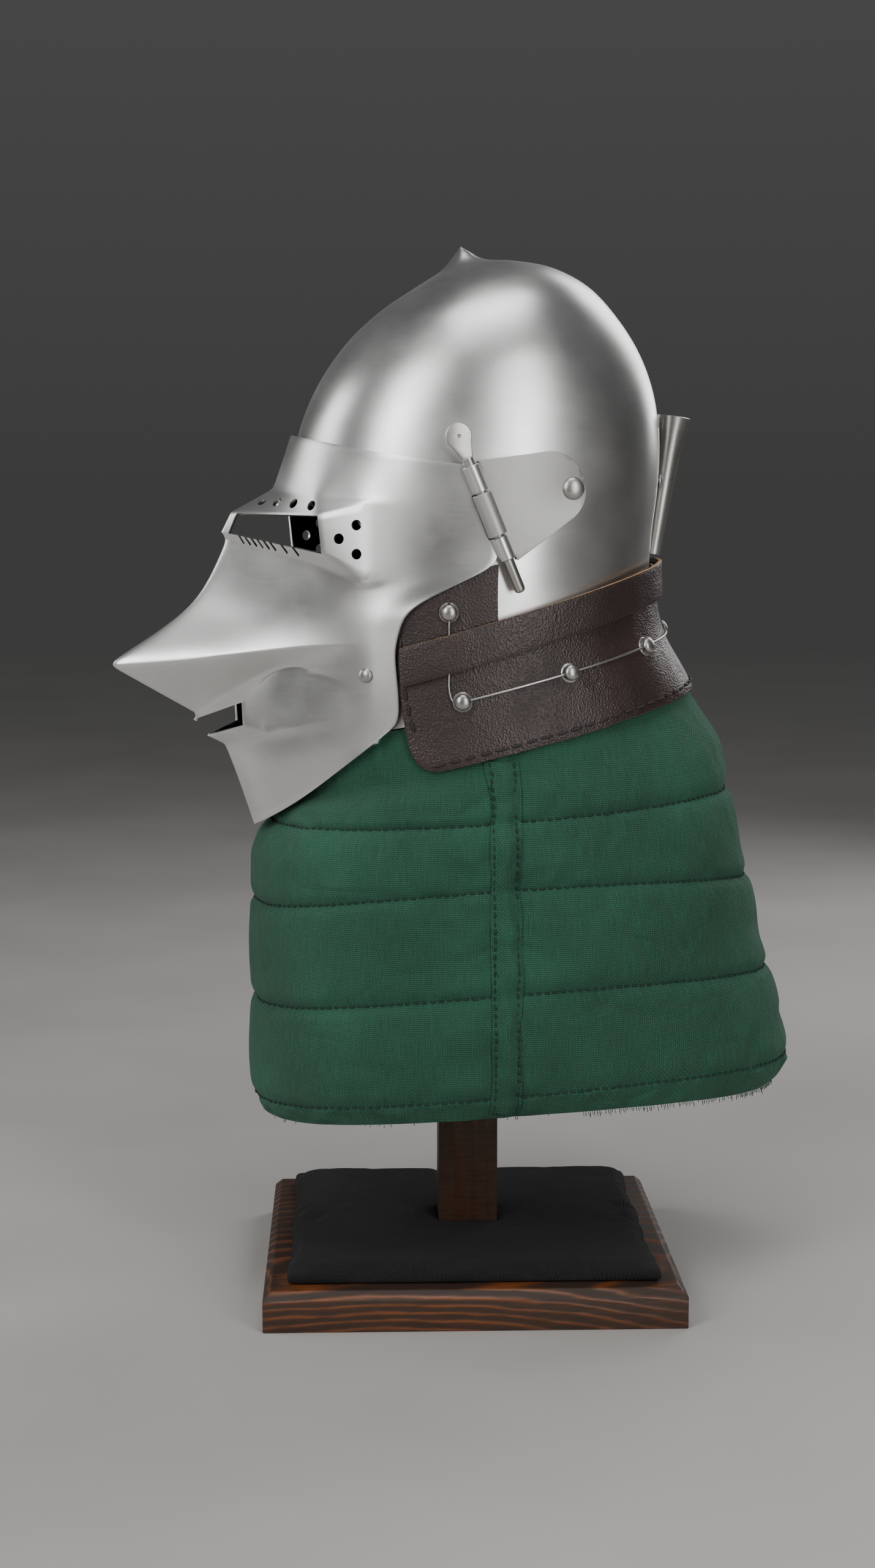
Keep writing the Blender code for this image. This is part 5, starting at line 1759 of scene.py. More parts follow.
@dataclass
class Leatherwork:
    """The stitched band that the aventail hangs from, and the plain strap over it."""

    form: SkullForm
    finishes: Finishes
    wall: float = 0.0025
    front: float = 0.062
    step: float = 0.002
    corner: float = 0.018
    under_strap: float = 0.004
    strap_front: float = 0.0632
    strap_slant: float = 0.0015
    strap_height: float = 0.0255
    strap_outside: float = 0.0084
    columns: int = 120

    def rounded_up(self, back: float) -> float:
        """Finds how far the band's lower edge rises at its rounded front corner.

        Args:
            back: The way back from the band's front edge.

        Returns:
            The rise.
        """
        ahead = min(self.corner, self.corner - back)
        return self.corner - math.sqrt(self.corner**2 - ahead**2) if ahead > 0 else 0.0

    def angles(self, front: float, line: Line) -> list[float]:
        """Divides a band's way round from its front end to the nape.

        Args:
            front: How far ahead it starts.
            line: The edge that it is measured on.

        Returns:
            The angles.
        """
        start = self.form.spot_on(-front, line)[0]
        return [start + (math.pi - start) * k / self.columns for k in range(self.columns + 1)]

    def build(self) -> None:
        """Builds the band, its stitches and the strap, and gives them to the frame."""
        angles = self.angles(self.front, STUD_LINE)
        step_angle = self.form.spot_on(-self.step, STRAP_TOP)[0]
        near = min(range(self.columns + 1), key=lambda k: abs(angles[k] - step_angle))
        low_rows, wing_rows = 16, 7
        under = Line(STRAP_TOP.rise - self.under_strap, STRAP_TOP.slope)
        spans = []
        for angle in angles:
            foot = self.form.point(angle, self.form.row_at(angle, LEATHER_FOOT))
            front = foot if angle == angles[0] else front
            ripple = 0.0007 * noise.noise(Vector((angle * 6, 3.1, 0)))
            rise = LEATHER_FOOT.rise + self.rounded_up((foot - front).length) + ripple
            marks = (Line(rise, LEATHER_FOOT.slope), under, LEATHER_WING_TOP)
            spans.append([self.form.row_at(angle, mark) for mark in marks])

        def place(column: int, row: int) -> Vector:
            """Finds a corner of the band.

            Args:
                column: From the front round to the nape.
                row: From the foot up.

            Returns:
                The corner.
            """
            foot, middle, top = spans[column]
            if row <= low_rows:
                s = foot + (middle - foot) * row / low_rows
            else:
                s = middle + (top - middle) * (row - low_rows) / wing_rows
            angle = angles[column]
            lift = 0.0004 * (1 + noise.noise(Vector((angle * 9, s * 1.3, 0))))
            point = self.form.outside(angle, s, LEATHER_OUTSIDE + lift)
            if column == self.columns:
                point.x = 0.0
            return point

        rows = low_rows + wing_rows
        bm = lofted(self.columns, rows, place)
        bm.faces.ensure_lookup_table()
        beyond = []
        grid = bmesh.new()
        bmesh.ops.create_grid(grid, x_segments=self.columns, y_segments=rows, size=0.5)
        for face, twin in zip(grid.faces, bm.faces):
            centre = face.calc_center_median()
            if (0.5 - centre.y) * rows > low_rows and (centre.x + 0.5) * self.columns > near:
                beyond.append(twin)
        grid.free()
        bmesh.ops.delete(bm, geom=beyond, context="FACES")
        both_sides(bm, Vector((0, 0, STUD_LINE.rise)))
        band = as_object("leather_band", bm, self.finishes.leather, self.finishes.raw_leather)
        walled(band, self.wall, 0.0005, rim=1)
        hand_over(band, Body.HELMET, Slot.LEATHER, ["aventail_leather"])
        self.build_stitches(angles, spans)
        self.build_strap()

    def build_stitches(self, angles: Sequence[float], spans: Sequence[Sequence[float]]) -> None:
        """Sews the band near its front and lower edges.

        Args:
            angles: The band's angles.
            spans: Row numbers of its foot, its middle and its top at each angle.
        """
        inset = 0.0046
        paths = []
        front_angle = self.form.spot_on(-self.front + inset, STUD_LINE)[0]
        down = [
            self.form.outside(front_angle, s / 40, LEATHER_OUTSIDE + 0.0011)
            for s in range(int(spans[0][2] * 40) + 12, int(spans[0][0] * 40) - 6)
        ]
        round_foot = []
        for angle, span in zip(angles[5:], spans[5:]):
            step = self.form.point(angle, span[0] - 0.5) - self.form.point(angle, span[0])
            s = span[0] - 0.5 * inset / step.length
            round_foot.append(self.form.outside(angle, s, LEATHER_OUTSIDE + 0.0010))
        for path in (down, round_foot):
            paths += [path, [FLIP @ point for point in path]]
        sewn = stitched("leather_stitches", paths, 0.0105, 0.0086, 0.00115, self.finishes.cord, 0.09)
        hand_over(sewn, Body.HELMET, Slot.LEATHER)

    def build_strap(self) -> None:
        """Builds the strap and gives it to the frame."""
        low = Line(STRAP_TOP.rise - self.strap_height, STRAP_TOP.slope)
        top_angles = self.angles(self.strap_front, STRAP_TOP)
        low_angles = self.angles(self.strap_front - self.strap_slant, low)
        ends = [
            (self.form.row_at(a, STRAP_TOP), self.form.row_at(b, low))
            for a, b in zip(top_angles, low_angles)
        ]
        rows = 8

        def place(column: int, row: int) -> Vector:
            """Finds a corner of the strap.

            Args:
                column: From the front round to the nape.
                row: From the top down.

            Returns:
                The corner.
            """
            share = row / rows
            angle = top_angles[column] + (low_angles[column] - top_angles[column]) * share
            s = ends[column][0] + (ends[column][1] - ends[column][0]) * share
            bow = 0.0005 * math.sin(math.pi * share)
            bow += 0.0004 * noise.noise(Vector((angle * 7, share * 2, 5)))
            point = self.form.outside(angle, s, self.strap_outside + bow)
            if column == self.columns:
                point.x = 0.0
            return point

        bm = both_sides(lofted(self.columns, rows, place), Vector((0, 0, STRAP_TOP.rise)))
        strap = as_object("plain_strap", bm, self.finishes.leather, self.finishes.raw_leather)
        walled(strap, self.wall, 0.0005, rim=1)
        hand_over(strap, Body.HELMET, Slot.LEATHER, ["nape_strap"])


@dataclass
class Vervelles:
    """The pierced studs round the leather, and the wire threaded through them."""

    form: SkullForm
    finishes: Finishes
    radius: float = 0.0054
    stem: float = 0.0026
    height: float = 0.0070
    wire_radius: float = 0.0008

    def spots(self) -> list[tuple[str, float, float, int]]:
        """Lists the studs.

        Returns:
            Each stud's name, angle, row number and side.
        """
        found = []
        for side_name, side in SIDES:
            angle, s = self.form.spot_on(HIGH_STUD_REACH, HIGH_STUD_LINE)
            found.append((f"vervelle_high_{side_name}", angle, s, side))
            for k, reach in enumerate(STUD_REACHES):
                angle, s = self.form.spot_on(reach, STUD_LINE)
                found.append((f"vervelle_{k + 1}_{side_name}", angle, s, side))
        return [*found, ("vervelle_nape", math.pi, self.form.row_at(math.pi, STUD_LINE), 1)]

    def build(self) -> None:
        """Builds the studs and the wire, and gives them to the frame."""
        top = LEATHER_OUTSIDE + self.height
        under = top - 0.52 * self.height
        dome = [
            (self.radius * math.cos(t), under + 0.0006 + (top - under - 0.0006) * math.sin(t))
            for t in (math.pi / 2 * k / 7 for k in range(7))
        ]
        profile = [(0.0, top), *reversed(dome), (self.radius * 0.94, under), (self.stem * 1.25, under)]
        profile += [(self.stem, under - 0.0006), (self.stem, -0.0034), (0.004, -0.0034)]
        profile += [(0.004, -0.0045), (0.0, -0.0046)]
        ring = [(0.0031, LEATHER_OUTSIDE + 0.0011), (0.0060, LEATHER_OUTSIDE + 0.0011)]
        ring += [(0.0065, LEATHER_OUTSIDE + 0.0007), (0.0065, LEATHER_OUTSIDE), (0.0031, LEATHER_OUTSIDE)]
        for name, angle, s, side in self.spots():
            bm = spun(profile, 30)
            spun([*ring, ring[0]], 30, bm)
            matrix = self.form.frame_on(angle, s, side)
            bmesh.ops.transform(bm, matrix=matrix, verts=bm.verts)
            stud = as_object(f"stud_{name[9:]}", bm, self.finishes.fittings)
            aim = upright_at(self.form.outside(angle, s, WIRE_LIFT), self.wire_way(name, angle, s))
            cut_away(stud, [tool_rod("drill", self.wire_radius + 0.0004, 0.016, mirrored(aim, side))])
            hand_over(stud, Body.HELMET, Slot.POLISHED, [name])
        self.build_wire()

    def wire_way(self, name: str, angle: float, s: float) -> Vector:
        """Finds the way that the wire runs through a stud on the left.

        Args:
            name: The stud's name.
            angle: Its angle.
            s: Its row number.

        Returns:
            The direction.
        """
        y = self.form.point(angle, s).y
        if "high" in name:
            z = HIGH_STUD_LINE.at(y)
            return self.form.point(*self.form.spot(y, z - 0.002)) - self.form.point(
                *self.form.spot(y, z + 0.002)
            )
        if angle > math.pi - 0.03:
            return Vector((1.0, 0.0, 0.0))
        first, last = [
            self.form.point(end, self.form.row_at(end, STUD_LINE)) for end in (angle - 0.03, angle + 0.03)
        ]
        return last - first

    def route(self) -> list[Vector]:
        """Traces the wire on the left, from the high stud down, then round to the nape.

        Returns:
            Its points.
        """
        high = self.form.spot_on(HIGH_STUD_REACH, HIGH_STUD_LINE)
        first = self.form.spot_on(STUD_REACHES[0], STUD_LINE)[0]
        lying = LEATHER_OUTSIDE + 0.0011
        start = self.form.point(*high)
        foot_z = STUD_LINE.at(STUD_REACHES[0])
        found = []
        for share, lift in ((0.0, WIRE_LIFT), (0.12, WIRE_LIFT), (0.24, lying), (0.5, lying), (0.72, lying)):
            z = start.z + (foot_z - start.z) * share
            found.append(self.form.outside(*self.form.spot(start.y, z), lift))
        for share, above in ((0.04, 0.0085), (0.26, 0.0026), (0.6, 0.0), (1.0, 0.0), (1.4, 0.0)):
            y = start.y + (STUD_REACHES[0] - start.y) * share
            found.append(self.form.outside(*self.form.spot(y, STUD_LINE.at(y) + above), WIRE_LIFT))
        stations = [first, *(self.form.spot_on(reach, STUD_LINE)[0] for reach in STUD_REACHES[1:]), math.pi]
        for begin, end in zip(stations, stations[1:]):
            for share in (0.12, 0.36, 0.64, 0.88, 1.0):
                if begin == first and share < 0.3:
                    continue
                angle = begin + (end - begin) * share
                found.append(self.form.outside(angle, self.form.row_at(angle, STUD_LINE), WIRE_LIFT))
        return found

    def build_wire(self) -> None:
        """Builds the wire and gives it to the frame."""
        left = self.route()
        left[-1].x = 0.0
        points = left + [FLIP @ point for point in reversed(left[:-1])]
        curve = bpy.data.curves.new("threaded_wire", "CURVE")
        curve.dimensions = "3D"
        curve.bevel_depth = self.wire_radius
        curve.bevel_resolution = 3
        curve.use_fill_caps = True
        spline = curve.splines.new("BEZIER")
        spline.bezier_points.add(len(points) - 1)
        for knot, point in zip(spline.bezier_points, points):
            knot.co = point
            knot.handle_left_type = knot.handle_right_type = "AUTO"
        spline.resolution_u = 6
        curve.materials.append(self.finishes.fittings)
        wire = bpy.data.objects.new("threaded_wire", curve)
        bpy.context.scene.collection.objects.link(wire)
        hand_over(wire, Body.HELMET, Slot.POLISHED, ["vervelle_wire"])


@dataclass
class PlumeHolder:
    """The flared tube on the nape with its riveted back plate."""

    form: SkullForm
    finishes: Finishes
    length: float = 0.096
    drop: float = 0.045
    top_radius: float = 0.0098
    rim_radius: float = 0.0120
    foot_radius: float = 0.0050
    wall: float = 0.0010
    lean: float = math.radians(8.5)
    plate_width: float = 0.034
    plate_top: float = 0.042
    plate_rows: int = 14
    plate_wall: float = 0.0012
    near_nape: float = 0.12

    def build(self) -> None:
        """Builds the holder and its rivets, and gives them to the frame."""
        outer = [(self.foot_radius, 0.0)]
        for k in range(1, 9):
            share = k / 8
            flare = (self.rim_radius - self.top_radius) * max(0.0, share - 0.8) / 0.2
            radius = self.foot_radius + (self.top_radius - self.foot_radius) * share + flare
            outer.append((radius, self.length * share))
        outer[-1] = (self.rim_radius, self.length - self.wall)
        inner = [(radius - self.wall, height) for radius, height in reversed(outer)]
        rim = [(self.rim_radius + 0.0001, self.length - 0.0004), (self.rim_radius - 0.0005, self.length)]
        bm = spun([*outer, *rim, *inner, outer[0]], 44)
        height = self.form.pivot_height - self.drop
        s = self.form.row_at(math.pi, Line(height, 0.0))
        y = self.form.point(math.pi, s).y + 0.0003 + self.plate_wall * 0.6 + self.foot_radius
        stand = Matrix.Translation((0, y, height)) @ Matrix.Rotation(-self.lean, 4, "X")
        bmesh.ops.transform(bm, matrix=stand, verts=bm.verts)
        tube = as_object("plume_tube", bm, self.finishes.fittings)
        low, high = height + 0.002, self.form.pivot_height + self.plate_top

        def place(column: int, row: int) -> Vector:
            """Finds a corner of the back plate.

            Args:
                column: Across.
                row: From the top down.

            Returns:
                The corner.
            """
            z = high + (low - high) * row / self.plate_rows
            narrow = 1 - 0.18 * (1 - math.cos(math.pi * row / self.plate_rows)) / 2
            out = self.plate_width / 2 * (column / 8 - 1) * narrow
            line = Line(z, 0.0)
            row_s = self.form.row_at(math.pi, line)
            share = min(1.0, abs(out) / self.form.ring(row_s)[2]) ** (self.form.fullness / 2)
            point = self.form.outside(math.pi - math.asin(share), row_s, 0.0015)
            point.x = math.copysign(point.x, out) if out else 0.0
            return point

        sheet = lofted(16, self.plate_rows, place)
        face_out(sheet, Vector((0, 0, self.form.pivot_height)))
        plate = walled(as_object("back_plate", sheet, self.finishes.fittings), self.plate_wall, 0.0004)
        holder = joined("plume_tube", [tube, plate])
        hand_over(holder, Body.HELMET, Slot.POLISHED, ["plume_holder"])
        for side_name, side in SIDES:
            middle = sum(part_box(f"holder_rivet_{side_name}"), Vector()) / 2
            s = self.form.row_at(math.pi - self.near_nape, Line(middle.z, 0.0))
            angle = math.pi - math.asin((abs(middle.x) / self.form.ring(s)[2]) ** (self.form.fullness / 2))
            riveted(
                f"holder_rivet_{side_name}",
                (0.0021, HEAD_RISE, SMALL_HEAD, SHANK, 0.0055),
                self.form.frame_on(angle, s, side),
                self.finishes.fittings,
                Body.HELMET,
            )


@dataclass
class Aventail:
    """The quilted canvas curtain: puffs between sewn channels, a side placket and a frayed hem."""

    form: SkullForm
    finishes: Finishes
    length: float = 0.380
    width: float = 0.250
    drop: float = 0.300
    hem: float = 0.122
    fullness: float = 2.15
    wall: float = 0.0055
    columns: int = 88
    seam_rings: tuple[int, ...] = (1, 3, 5, 7)
    row_counts: tuple[int, ...] = (2, 4, 4, 6, 6, 7, 7, 6, 6, 3, 3)
    placket: Pair = (-0.0075, 0.0075)
    placket_grip: float = 0.0032

    def ring_row(self, angle: float, row: int) -> Vector:
        """Finds a point of the cloth on one of its named rings.

        Args:
            angle: 0 at the front, half a turn at the back.
            row: 0 and 1 lie inside the leather, the rest are rings.

        Returns:
            The point, on the left.
        """
        if row < 2:
            line = CLOTH_TOP if row == 0 else Line(LEATHER_FOOT.rise - 0.002, LEATHER_FOOT.slope)
            return self.form.outside(angle, self.form.row_at(angle, line), -0.0006)
        ring = CLOTH_RINGS[row - 2]
        front = (ring.front_reach * self.length, self.hem + ring.front_rise * self.drop)
        back = (ring.back_reach * self.length, self.hem + ring.back_rise * self.drop)
        point = ring_point(
            front, back, ring.half_width * self.width, 0.47, self.fullness, angle, ring.lift * self.drop
        )
        if row - 2 in self.seam_rings:
            point += Vector((math.sin(angle), -math.cos(angle), 0)) * (0.0045 - 0.0015 * math.cos(angle))
        return point

    def build(self) -> None:
        """Builds the curtain, its stitches and its frayed hem, and gives them to the frame."""
        starts = [sum(self.row_counts[:k]) for k in range(len(self.row_counts) + 1)]
        rows = starts[-1]
        meridians = [
            [self.ring_row(math.pi * column / self.columns, row) for row in range(len(starts))]
            for column in range(self.columns + 1)
        ]

        def smooth_place(column: int, row: int) -> Vector:
            """Finds a corner of the cloth, each puff rounded between its seams.

            Args:
                column: From the front round to the back.
                row: From the top down.

            Returns:
                The corner.
            """
            k = max(index for index in range(len(starts) - 1) if starts[index] <= row)
            down = (row - starts[k]) / self.row_counts[k]
            share = down
            if k - 2 in self.seam_rings:
                share = 0.45 * down + 0.55 * math.sin(down * math.pi / 2)
            elif k - 1 in self.seam_rings:
                share = 0.45 * down + 0.55 * (1 - math.cos(down * math.pi / 2))
            near, far = meridians[column][k], meridians[column][k + 1]
            point = near.lerp(far, share)
            point.z = near.z + (far.z - near.z) * down
            if column in (0, self.columns):
                point.x = 0.0
            return point

        bm = lofted(self.columns, rows, smooth_place)
        numbers = bm.verts.layers.int.new("cloth_row")
        for vert in bm.verts:
            vert[numbers] = 0
        grid = bmesh.new()
        bmesh.ops.create_grid(grid, x_segments=self.columns, y_segments=rows, size=0.5)
        for twin, vert in zip(grid.verts, bm.verts):
            vert[numbers] = round((0.5 - twin.co.y) * rows)
        grid.free()
        both_sides(bm, Vector((0, 0, self.hem + self.drop / 2)))
        row_of = [vert[numbers] for vert in bm.verts]
        seams = {starts[ring + 2] for ring in self.seam_rings}
        crease = bm.edges.layers.float.new("crease_edge")
        for edge in bm.edges:
            ends = {vert[numbers] for vert in edge.verts}
            edge[crease] = 0.85 if len(ends) == 1 and ends <= seams else 0.0
        cloth = as_object("quilted_cloth", bm, self.finishes.cloth, sharp=SUPPLE)
        held_rows = seams | set(range(starts[2] + 1)) | {rows}

        held = {
            number
            for number, vert in enumerate(cloth.data.vertices)
            if row_of[number] in held_rows or self.beside_placket(vert.co) < self.placket_grip
        }
        settled(cloth, held, 0.5, 0.05, 0.0025)
        self.crinkle(cloth, row_of, seams)
        lines = {row: self.line_on(cloth, row_of, row) for row in seams}
        sides = [self.placket_line(cloth, y) for y in self.placket]
        hem_line = self.line_on(cloth, row_of, rows)
        self.map_cloth(cloth)
        fine = cloth.modifiers.new("fine", "SUBSURF")
        fine.levels = fine.render_levels = 1
        walled(cloth, self.wall)
        hand_over(cloth, Body.HELMET, Slot.CLOTH, ["aventail"])
        self.build_placket(cloth)
        sewn = stitched(
            "quilting_stitches",
            [*lines.values(), *sides],
            0.0056,
            0.0042,
            0.00085,
            self.finishes.thread,
        )
        hand_over(sewn, Body.HELMET, Slot.CLOTH)
        self.fray(hem_line, sides)

    def beside_placket(self, place: Vector) -> float:
        """Measures how far a point lies from the placket's seams.

        Args:
            place: The point.

        Returns:
            The distance, a metre on the other side of the helmet.
        """
        return min(abs(place.y - y) for y in self.placket) if place.x > 0 else 1.0

    def crinkle(self, cloth: Piece, row_of: Sequence[int], seams: set[int]) -> None:
        """Draws the cloth into its seams, with small puckers beside them.

        Args:
            cloth: The settled cloth.
            row_of: The row of each point.
            seams: The rows that are sewn.
        """
        for vert in cloth.data.vertices:
            row = row_of[vert.index]
            gap = min(abs(row - seam) for seam in seams)
            side_gap = self.beside_placket(vert.co)
            reach = Vector((vert.co.x, vert.co.y, 0)).normalized()
            around = math.atan2(vert.co.y, vert.co.x)
            pucker = noise.noise(Vector((around * 26, vert.co.z * 18, 0.7)))
            soft = noise.noise(Vector((around * 5, vert.co.z * 22, 4.1)))
            slant = noise.noise(Vector((around * 9 + vert.co.z * 16, vert.co.z * 9, 8.3)))
            depth = 0.0012 * soft + 0.0030 * max(0.0, 0.25 - abs(slant)) * (1.6 if vert.co.z > 0.31 else 1.0)
            if gap <= 3:
                depth += 0.0014 * pucker * (1 - gap / 4) - (0.0014 if gap == 0 else 0.0)
            if side_gap < 0.0028:
                depth -= 0.0022
            elif vert.co.x > 0 and self.placket[0] < vert.co.y < self.placket[1]:
                depth += 0.0018
            elif side_gap < 0.03:
                depth += 0.0018 * noise.noise(Vector((vert.co.y * 24, vert.co.z * 70, 1.3)))
            vert.co += reach * depth

    def line_on(self, cloth: Piece, row_of: Sequence[int], row: int) -> list[Vector]:
        """Follows one row right round the cloth.

        Args:
            cloth: The cloth.
            row_of: The row of each point.
            row: The row to follow.

        Returns:
            Its points, in order and closed.
        """
        points = [
            vert.co + Vector((vert.co.x, vert.co.y, 0)).normalized() * 0.0007
            for vert in cloth.data.vertices
            if row_of[vert.index] == row
        ]
        middle = sum(points, Vector()) / len(points)
        points.sort(key=lambda point: math.atan2(point.y - middle.y, point.x - middle.x))
        return [*points, points[0]]

    def placket_line(self, cloth: Piece, y: float) -> list[Vector]:
        """Follows the side placket down the cloth's left.

        Args:
            cloth: The cloth.
            y: The placket line's reach.

        Returns:
            Its points from the top down.
        """
        found = []
        z = 0.372
        while z > self.hem + 0.012:
            struck, spot, _, _ = cloth.ray_cast(Vector((0.4, y, z)), Vector((-1, 0, 0)))
            if struck:
                found.append(spot + Vector((0.0024, 0, 0)))
            z -= 0.004
        return found

    def build_placket(self, cloth: Piece) -> None:
        """Lays the folded strip that closes the curtain's left side.

        Args:
            cloth: The finished cloth, which the strip lies on.
        """
        rows, columns = 84, 8
        top, foot = 0.372, self.hem + 0.019
        low, high = self.placket[0] - 0.0026, self.placket[1] + 0.0022

        def place(column: int, row: int) -> Vector:
            """Finds a corner of the strip.

            Args:
                column: From its front edge back.
                row: From the top down.

            Returns:
                The corner.
            """
            z = top + (foot - top) * row / rows
            share = column / columns
            sway = 0.0034 * noise.noise(Vector((share * 0.9, z * 30, 3.3)))
            y = low + (high - low) * share + sway
            struck, spot, _, _ = cloth.ray_cast(Vector((0.4, y, z)), Vector((-1, 0, 0)))
            fold = 0.0024 * max(0.0, math.sin(math.pi * (share * 1.3 - 0.15)))
            fold *= 1.0 + 0.5 * noise.noise(Vector((share * 3, z * 80, 6.1)))
            return Vector((spot.x + 0.0012 + fold if struck else self.width / 2, y, z))

        bm = lofted(columns, rows, place)
        face_out(bm, Vector((0, 0, 0.25)))
        strip = as_object("placket_strip", bm, self.finishes.cloth, sharp=SUPPLE)
        self.map_cloth(strip)
        walled(strip, 0.0016)
        hand_over(strip, Body.HELMET, Slot.CLOTH)

    def map_cloth(self, cloth: Piece) -> None:
        """Gives the cloth a map of its own threads, in metres round and down.

        Args:
            cloth: The cloth.
        """
        mesh = cloth.data
        layer = mesh.uv_layers.new(name="cloth_map")
        for face in mesh.polygons:
            turns = [math.atan2(mesh.vertices[k].co.x, -mesh.vertices[k].co.y) for k in face.vertices]
            wraps = max(turns) - min(turns) > math.pi
            for loop, vertex, turn in zip(face.loop_indices, face.vertices, turns):
                turn += 2 * math.pi if wraps and turn < 0 else 0
                layer.data[loop].uv = (turn * 0.165, mesh.vertices[vertex].co.z * 1.04)

    def fray(self, hem_line: Sequence[Vector], sides: Sequence[Sequence[Vector]]) -> None:
        """Leaves loose threads at the hem's back and beside the placket.

        Args:
            hem_line: The hem's points.
            sides: The placket's lines.
        """
        chance = random.Random(11)
        bm = bmesh.new()
        roots = []
        for place, _ in paced(hem_line, 0.0016):
            worn = 0.85 if place.y > 0.05 else 0.12
            if chance.random() < worn:
                roots.append((place, chance.uniform(0.0015, 0.0055) * (1 if place.y > 0.05 else 0.6), 0.5))
        for line in sides:
            roots += [(place, 0.008, 1.2) for place, _ in paced(line, 0.031)]
        for place, length, stray in roots:
            out = Vector((place.x, place.y, 0)).normalized()
            way = Vector((0, 0, -1)) + out * chance.uniform(-0.1, 0.5) * stray
            way += Vector((chance.uniform(-stray, stray), chance.uniform(-stray, stray), 0)) * 0.6
            way.normalize()
            stand = upright_at(place + way * length * 0.4 - out * 0.0004, way)
            size = Matrix.Diagonal((0.00028, 0.00028, length / 2, 1))
            bmesh.ops.create_uvsphere(bm, u_segments=4, v_segments=4, radius=1.0, matrix=stand @ size)
        loose = as_object("loose_threads", bm, self.finishes.thread, sharp=SUPPLE)
        hand_over(loose, Body.HELMET, Slot.CLOTH)


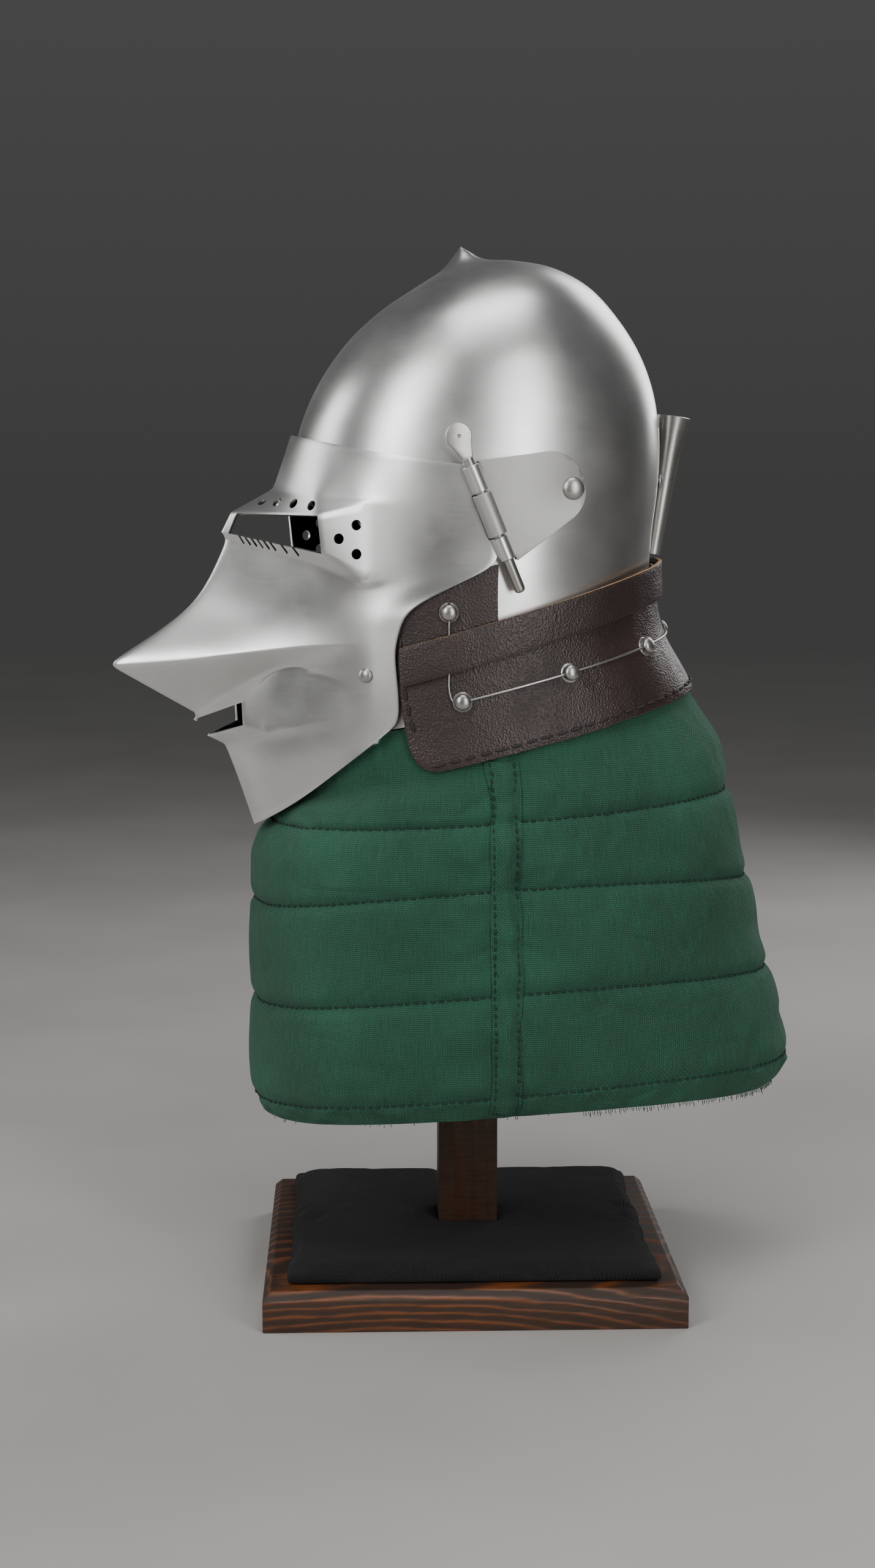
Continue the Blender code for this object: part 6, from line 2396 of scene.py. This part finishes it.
@dataclass
class Stand:
    """The square wooden stand, its black cloth pad, its post and the block inside the skull."""

    finishes: Finishes
    turn: float = math.radians(-9.6)
    base_width: float = 0.280
    base_thickness: float = 0.027
    chamfer: float = 0.0055
    pad_width: float = 0.252
    pad_thickness: float = 0.012
    post_width: float = 0.041
    cells: int = 56

    def slab(self, size: Vector, foot: float) -> Sheet:
        """Makes a square slab on the stand's axis.

        Args:
            size: Its width, depth and height.
            foot: The height of its foot.

        Returns:
            The slab, before it is turned.
        """
        bm = bmesh.new()
        bmesh.ops.create_cube(bm, size=1.0)
        bmesh.ops.scale(bm, vec=size, verts=bm.verts)
        bmesh.ops.translate(bm, vec=(0, 0, foot + size.z / 2), verts=bm.verts)
        return bm

    def soften(self, bm: Sheet, width: float) -> None:
        """Rounds a slab's edges.

        Args:
            bm: The slab.
            width: The rounding's width.
        """
        bmesh.ops.bevel(
            bm, geom=bm.edges[:], offset=width, segments=2, profile=0.5, affect="EDGES", material=-1
        )

    def build(self) -> None:
        """Builds the stand and gives it to the frame."""
        spin = Matrix.Rotation(self.turn, 4, "Z")
        base_size = Vector((self.base_width, self.base_width, self.base_thickness))
        bm = self.slab(base_size, 0.0)
        top = [edge for edge in bm.edges if all(vert.co.z > self.base_thickness / 2 for vert in edge.verts)]
        bmesh.ops.bevel(
            bm, geom=top, offset=self.chamfer, segments=1, profile=0.5, affect="EDGES", material=-1
        )
        self.soften(bm, 0.0009)
        bmesh.ops.transform(bm, matrix=spin, verts=bm.verts)
        base = as_object("wooden_base", bm, self.finishes.base_wood)
        hand_over(base, Body.HELMET, Slot.WOOD, ["stand_base"])
        low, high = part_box("stand_post")
        post_size = Vector((self.post_width, self.post_width, high.z - low.z))
        bm = self.slab(post_size, low.z)
        self.soften(bm, 0.0012)
        bmesh.ops.transform(bm, matrix=spin, verts=bm.verts)
        post = as_object("wooden_post", bm, self.finishes.post_wood)
        hand_over(post, Body.HELMET, Slot.WOOD, ["stand_post"])
        self.build_pad(spin)
        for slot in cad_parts["head_block"].material_slots:
            slot.material = self.finishes.post_wood

    def build_pad(self, spin: Matrix) -> None:
        """Builds the cloth pad and gives it to the frame.

        Args:
            spin: The stand's turn.
        """
        bm = bmesh.new()
        half = self.pad_width / 2 - 0.002
        bmesh.ops.create_grid(bm, x_segments=self.cells, y_segments=self.cells, size=half)
        hole = self.post_width / 2 + 0.002
        inside = [
            face
            for face in bm.faces
            if max(abs(face.calc_center_median().x), abs(face.calc_center_median().y)) < hole
        ]
        bmesh.ops.delete(bm, geom=inside, context="FACES")
        ceiling = self.base_thickness + 0.0003 + self.pad_thickness
        brink = self.post_width / 2 - 0.0035
        for vert in {vert for edge in bm.edges if edge.is_boundary for vert in edge.verts}:
            if max(abs(vert.co.x), abs(vert.co.y)) < half - 0.01:
                vert.co *= brink / max(abs(vert.co.x), abs(vert.co.y))
        for vert in bm.verts:
            edge = max(0.0, 0.012 - (half - max(abs(vert.co.x), abs(vert.co.y)))) / 0.012
            vert.co.z = ceiling - 0.0008 - 0.005 * edge**2
        wrap = bmesh.ops.solidify(bm, geom=bm.faces[:], thickness=self.pad_thickness - 0.0046)
        lowest = [item for item in wrap["geom"] if isinstance(item, bmesh.types.BMVert)]
        for vert in lowest:
            vert.co.z = self.base_thickness + 0.0004
        bmesh.ops.recalc_face_normals(bm, faces=bm.faces)
        bmesh.ops.transform(bm, matrix=spin, verts=bm.verts)
        pad = as_object("cloth_pad", bm, self.finishes.black_cloth, sharp=SUPPLE)
        floor = self.base_thickness + 0.001
        low = [number for number, vert in enumerate(pad.data.vertices) if vert.co.z < floor]
        settled(pad, low, 2.0, 0.04, 0.004)
        mesh = pad.data
        layer = mesh.uv_layers.new(name="cloth_map")
        for face in mesh.polygons:
            for loop, vertex in zip(face.loop_indices, face.vertices):
                spot = mesh.vertices[vertex].co
                layer.data[loop].uv = (spot.x + spot.z * 0.6, spot.y + spot.z * 0.6)
        for vert in mesh.vertices:
            if vert.co.z > floor:
                fold = noise.noise(Vector((vert.co.x * 34 + vert.co.y * 12, vert.co.y * 9, 2.0)))
                vert.co.z += 0.0052 * (0.35 - abs(fold)) - 0.0010
                vert.co.z = min(vert.co.z, ceiling + 0.001)
        fine = pad.modifiers.new("fine", "SUBSURF")
        fine.levels = fine.render_levels = 1
        baked(pad, SUPPLE)
        hand_over(pad, Body.HELMET, Slot.BLACK_CLOTH, ["stand_cloth"])


@dataclass
class Studio:
    """A plain pale floor, soft lights and the camera at the photograph's place."""

    floor_radius: float = 7.0
    lens: float = 56.8
    place: Triple = (1.6718, -0.3613, 0.5439)
    turn: Triple = (math.radians(83.37), 0.0, math.radians(78.5))
    lamps: tuple = (
        ("key", (1.42, -1.55, 1.42), 0.8, 1.7, 28.0),
        ("strip", (2.0, 0.70, 0.9), 0.55, 2.0, 21.0),
        ("back", (-1.2, 1.3, 1.3), 0.9, 1.4, 15.0),
        ("face", (-0.7, -1.7, 0.9), 0.7, 1.4, 10.0),
        ("top", (0.5, 0.0, 2.3), 1.1, 1.1, 14.0),
    )

    def build(self) -> None:
        """Builds the floor, the light and the camera."""
        bm = bmesh.new()
        bmesh.ops.create_circle(bm, cap_ends=True, segments=96, radius=self.floor_radius)
        floor = PlainFinish(
            "pale_floor_look", (0.46, 0.445, 0.425, 1), (0.41, 0.395, 0.375, 1), 3.0, 0.6, 0.0004
        )
        as_object("studio_floor", bm, floor.make())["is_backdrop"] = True
        aim = Vector((0, 0, 0.42))
        for name, spot, width, height, power in self.lamps:
            light = bpy.data.lights.new(f"{name}_light", "AREA")
            light.shape = "RECTANGLE"
            light.size, light.size_y = width, height
            light.energy = power
            lamp = bpy.data.objects.new(f"{name}_light", light)
            bpy.context.scene.collection.objects.link(lamp)
            lamp.location = spot
            lamp.rotation_mode = "QUATERNION"
            lamp.rotation_quaternion = (aim - Vector(spot)).to_track_quat("-Z", "Y")
        world = bpy.data.worlds.new("soft_room")
        world.use_nodes = True
        tree = world.node_tree
        shade = tree.nodes["Background"]
        place = tree.nodes.new("ShaderNodeTexCoord")
        split = tree.nodes.new("ShaderNodeSeparateXYZ")
        ramp = tree.nodes.new("ShaderNodeValToRGB")
        tree.links.new(place.outputs["Generated"], split.inputs[0])
        tree.links.new(split.outputs[2], ramp.inputs[0])
        ramp.color_ramp.elements[0].color = (0.085, 0.084, 0.083, 1)
        ramp.color_ramp.elements[0].position = 0.0
        ramp.color_ramp.elements[1].color = (0.17, 0.172, 0.176, 1)
        ramp.color_ramp.elements[1].position = 0.55
        tree.links.new(ramp.outputs[0], shade.inputs[0])
        shade.inputs[1].default_value = 0.6
        bpy.context.scene.world = world
        camera = bpy.data.cameras.new("photo_camera")
        camera.sensor_width = 36.0
        camera.lens = self.lens
        camera.clip_start, camera.clip_end = 0.05, 40.0
        eye = bpy.data.objects.new("photo_camera", camera)
        bpy.context.scene.collection.objects.link(eye)
        eye.location = self.place
        eye.rotation_euler = self.turn
        bpy.context.scene.camera = eye


def corners() -> list[list[float]]:
    """Measures the shown object.

    Returns:
        Its lowest and highest corner.
    """
    return [list(corner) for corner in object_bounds()]


def main() -> None:
    """Builds every piece in order and reports it."""
    logging.basicConfig(level=logging.INFO, format="%(message)s")
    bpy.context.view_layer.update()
    form = SkullForm()
    hinge = Hinge()
    finishes = Finishes()
    for piece in (
        SkullShell(form, finishes),
        Visor(form, hinge, finishes),
        SidePlates(form, hinge, finishes),
        Leatherwork(form, finishes),
        Vervelles(form, finishes),
        PlumeHolder(form, finishes),
        Aventail(form, finishes),
        Stand(finishes),
        Studio(),
    ):
        piece.build()
        LOG.info("%s is built", type(piece).__name__)


if __name__ == "__main__":
    main()
